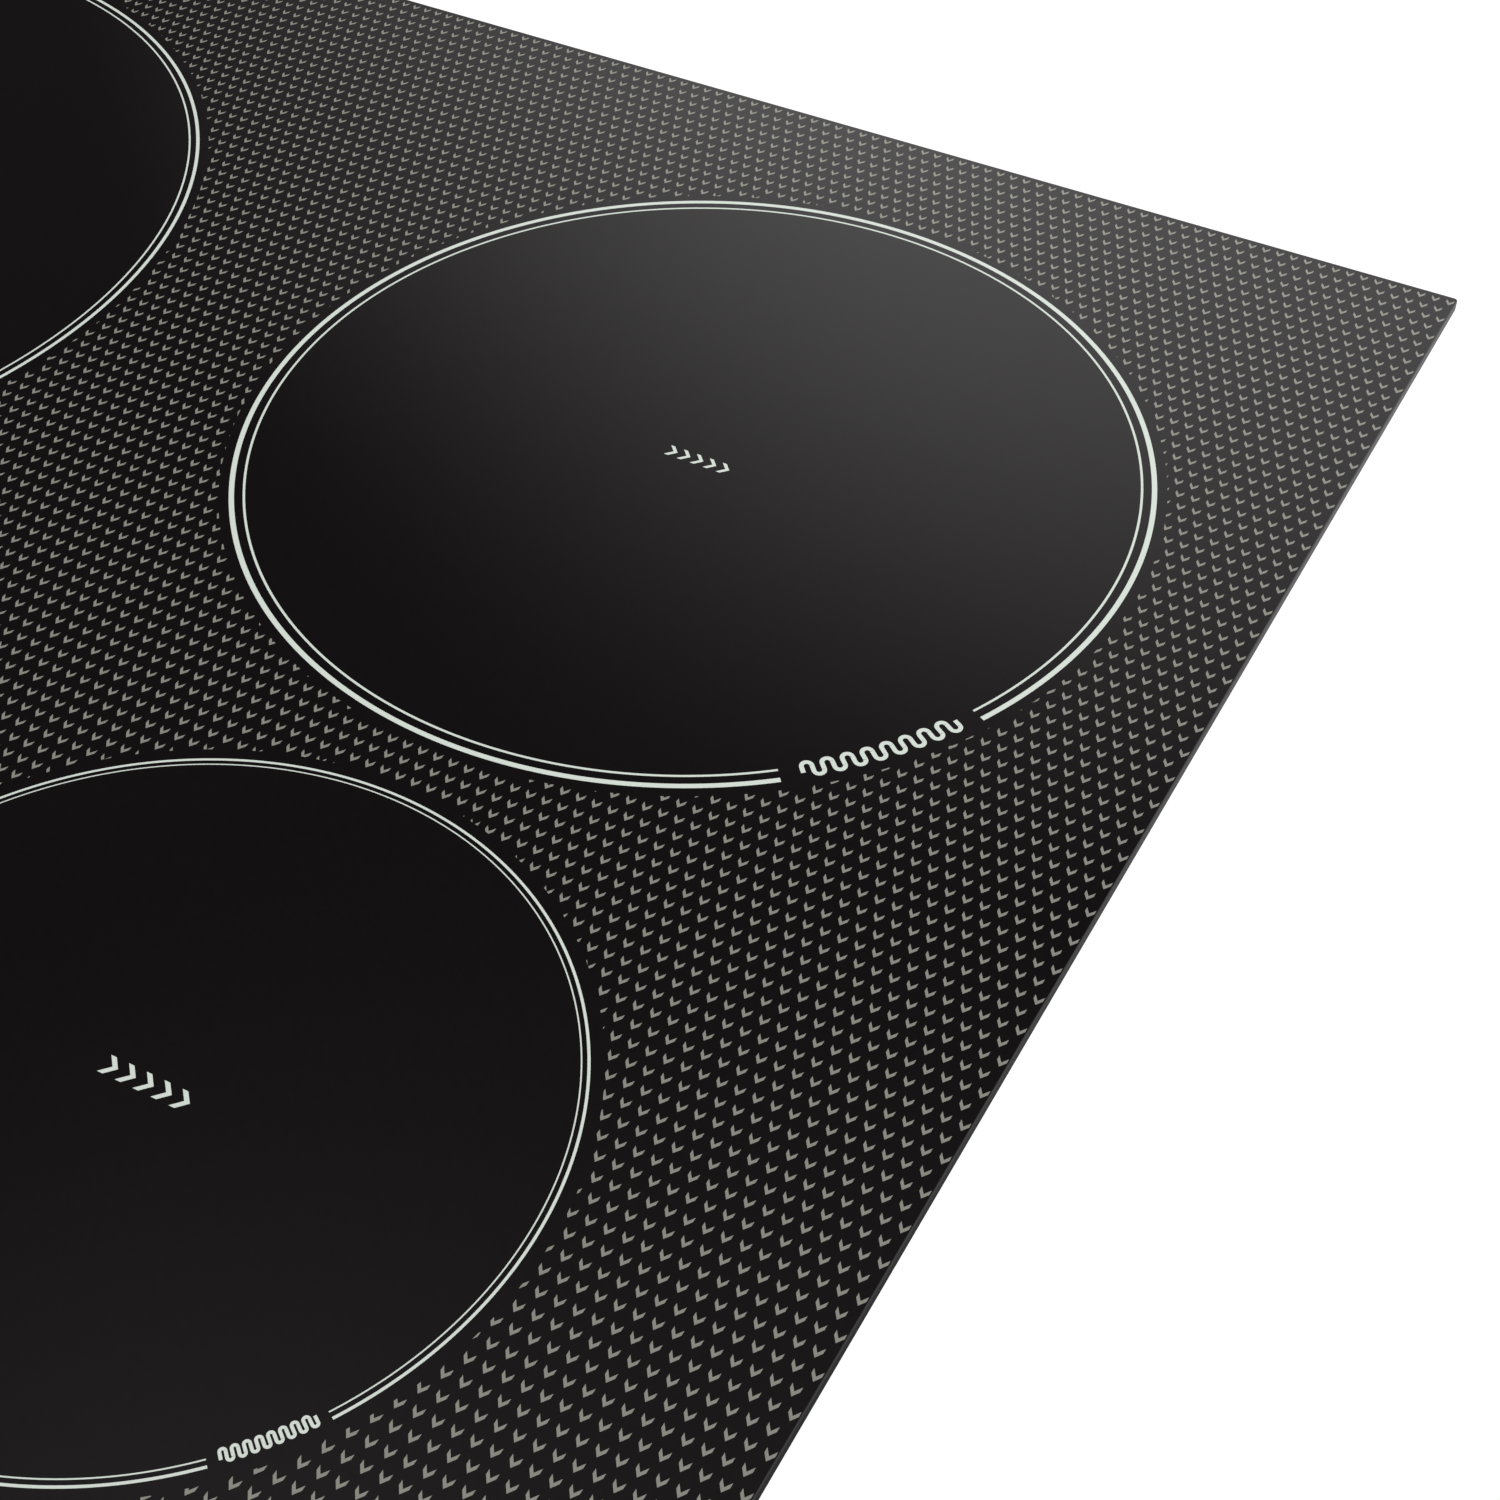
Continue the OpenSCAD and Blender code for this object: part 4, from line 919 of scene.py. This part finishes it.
class COOKTOP_OT_stage(bpy.types.Operator):
    """Sets a white floor, soft light and the camera"""
    bl_idname = "cooktop.stage"
    bl_label = "Stage"

    def execute(self, context):
        props = context.scene.cooktop_stage
        reach = 8 * (cad_high.x - cad_low.x)
        floor = add_piece("floor", [(-reach, -reach, cad_low.z), (reach, -reach, cad_low.z),
                                    (reach, reach, cad_low.z), (-reach, reach, cad_low.z)],
                          [(0, 1, 2, 3)], white_floor(props.floor_glow))
        floor.visible_diffuse = floor.visible_glossy = False
        world = bpy.data.worlds.new("studio")
        studio_world(world, props.room_light)
        context.scene.world = world
        softbox("key", place=(0.8, 1.2, 1.0), target=(0.05, 0, 0), size=0.6, power=15)
        aim = Vector((props.target[0], props.target[1], glass_high.z))
        back = Vector((math.sin(props.azimuth) * math.cos(props.elevation),
                       -math.cos(props.azimuth) * math.cos(props.elevation), math.sin(props.elevation)))
        camera = bpy.data.objects.new("camera", bpy.data.cameras.new("camera"))
        camera.data.lens, camera.data.sensor_width = props.lens, 36
        camera.data.clip_start, camera.data.clip_end = 0.01, 50
        camera.location = aim + back * props.distance
        camera.rotation_mode = "QUATERNION"
        camera.rotation_quaternion = (-back).to_track_quat("-Z", "Y")
        context.scene.collection.objects.link(camera)
        context.scene.camera = camera
        context.scene.view_settings.view_transform = "Standard"
        return {"FINISHED"}


OPERATORS = (COOKTOP_OT_stage, COOKTOP_OT_glass_plate, COOKTOP_OT_zone_rings,
             COOKTOP_OT_zone_signs, COOKTOP_OT_mark_field, COOKTOP_OT_control_print,
             COOKTOP_OT_sensor_springs, COOKTOP_OT_finishes)


class VIEW3D_PT_cooktop(bpy.types.Panel):
    bl_label = "Induction Cooktop"
    bl_space_type = "VIEW_3D"
    bl_region_type = "UI"
    bl_category = "Cooktop"

    def draw(self, context):
        for operator in OPERATORS:
            self.layout.operator(operator.bl_idname)
        for group in ("cooktop_glass", "cooktop_print", "cooktop_stage"):
            props = getattr(context.scene, group)
            box = self.layout.box()
            for name in props.bl_rna.properties.keys():
                if name not in ("rna_type", "name"):
                    box.prop(props, name)


CLASSES = (CooktopGlass, CooktopPrint, CooktopStage, *OPERATORS, VIEW3D_PT_cooktop)


def register():
    for cls in CLASSES:
        bpy.utils.register_class(cls)
    bpy.types.Scene.cooktop_glass = bpy.props.PointerProperty(type=CooktopGlass)
    bpy.types.Scene.cooktop_print = bpy.props.PointerProperty(type=CooktopPrint)
    bpy.types.Scene.cooktop_stage = bpy.props.PointerProperty(type=CooktopStage)


def unregister():
    del bpy.types.Scene.cooktop_glass
    del bpy.types.Scene.cooktop_print
    del bpy.types.Scene.cooktop_stage
    for cls in reversed(CLASSES):
        bpy.utils.unregister_class(cls)


def main():
    register()
    bpy.ops.cooktop.stage()
    bpy.ops.cooktop.glass_plate()
    bpy.ops.cooktop.zone_rings()
    bpy.ops.cooktop.zone_signs()
    bpy.ops.cooktop.mark_field()
    bpy.ops.cooktop.control_print()
    bpy.ops.cooktop.sensor_springs()
    bpy.ops.cooktop.finishes()


if __name__ == "__main__":
    main()
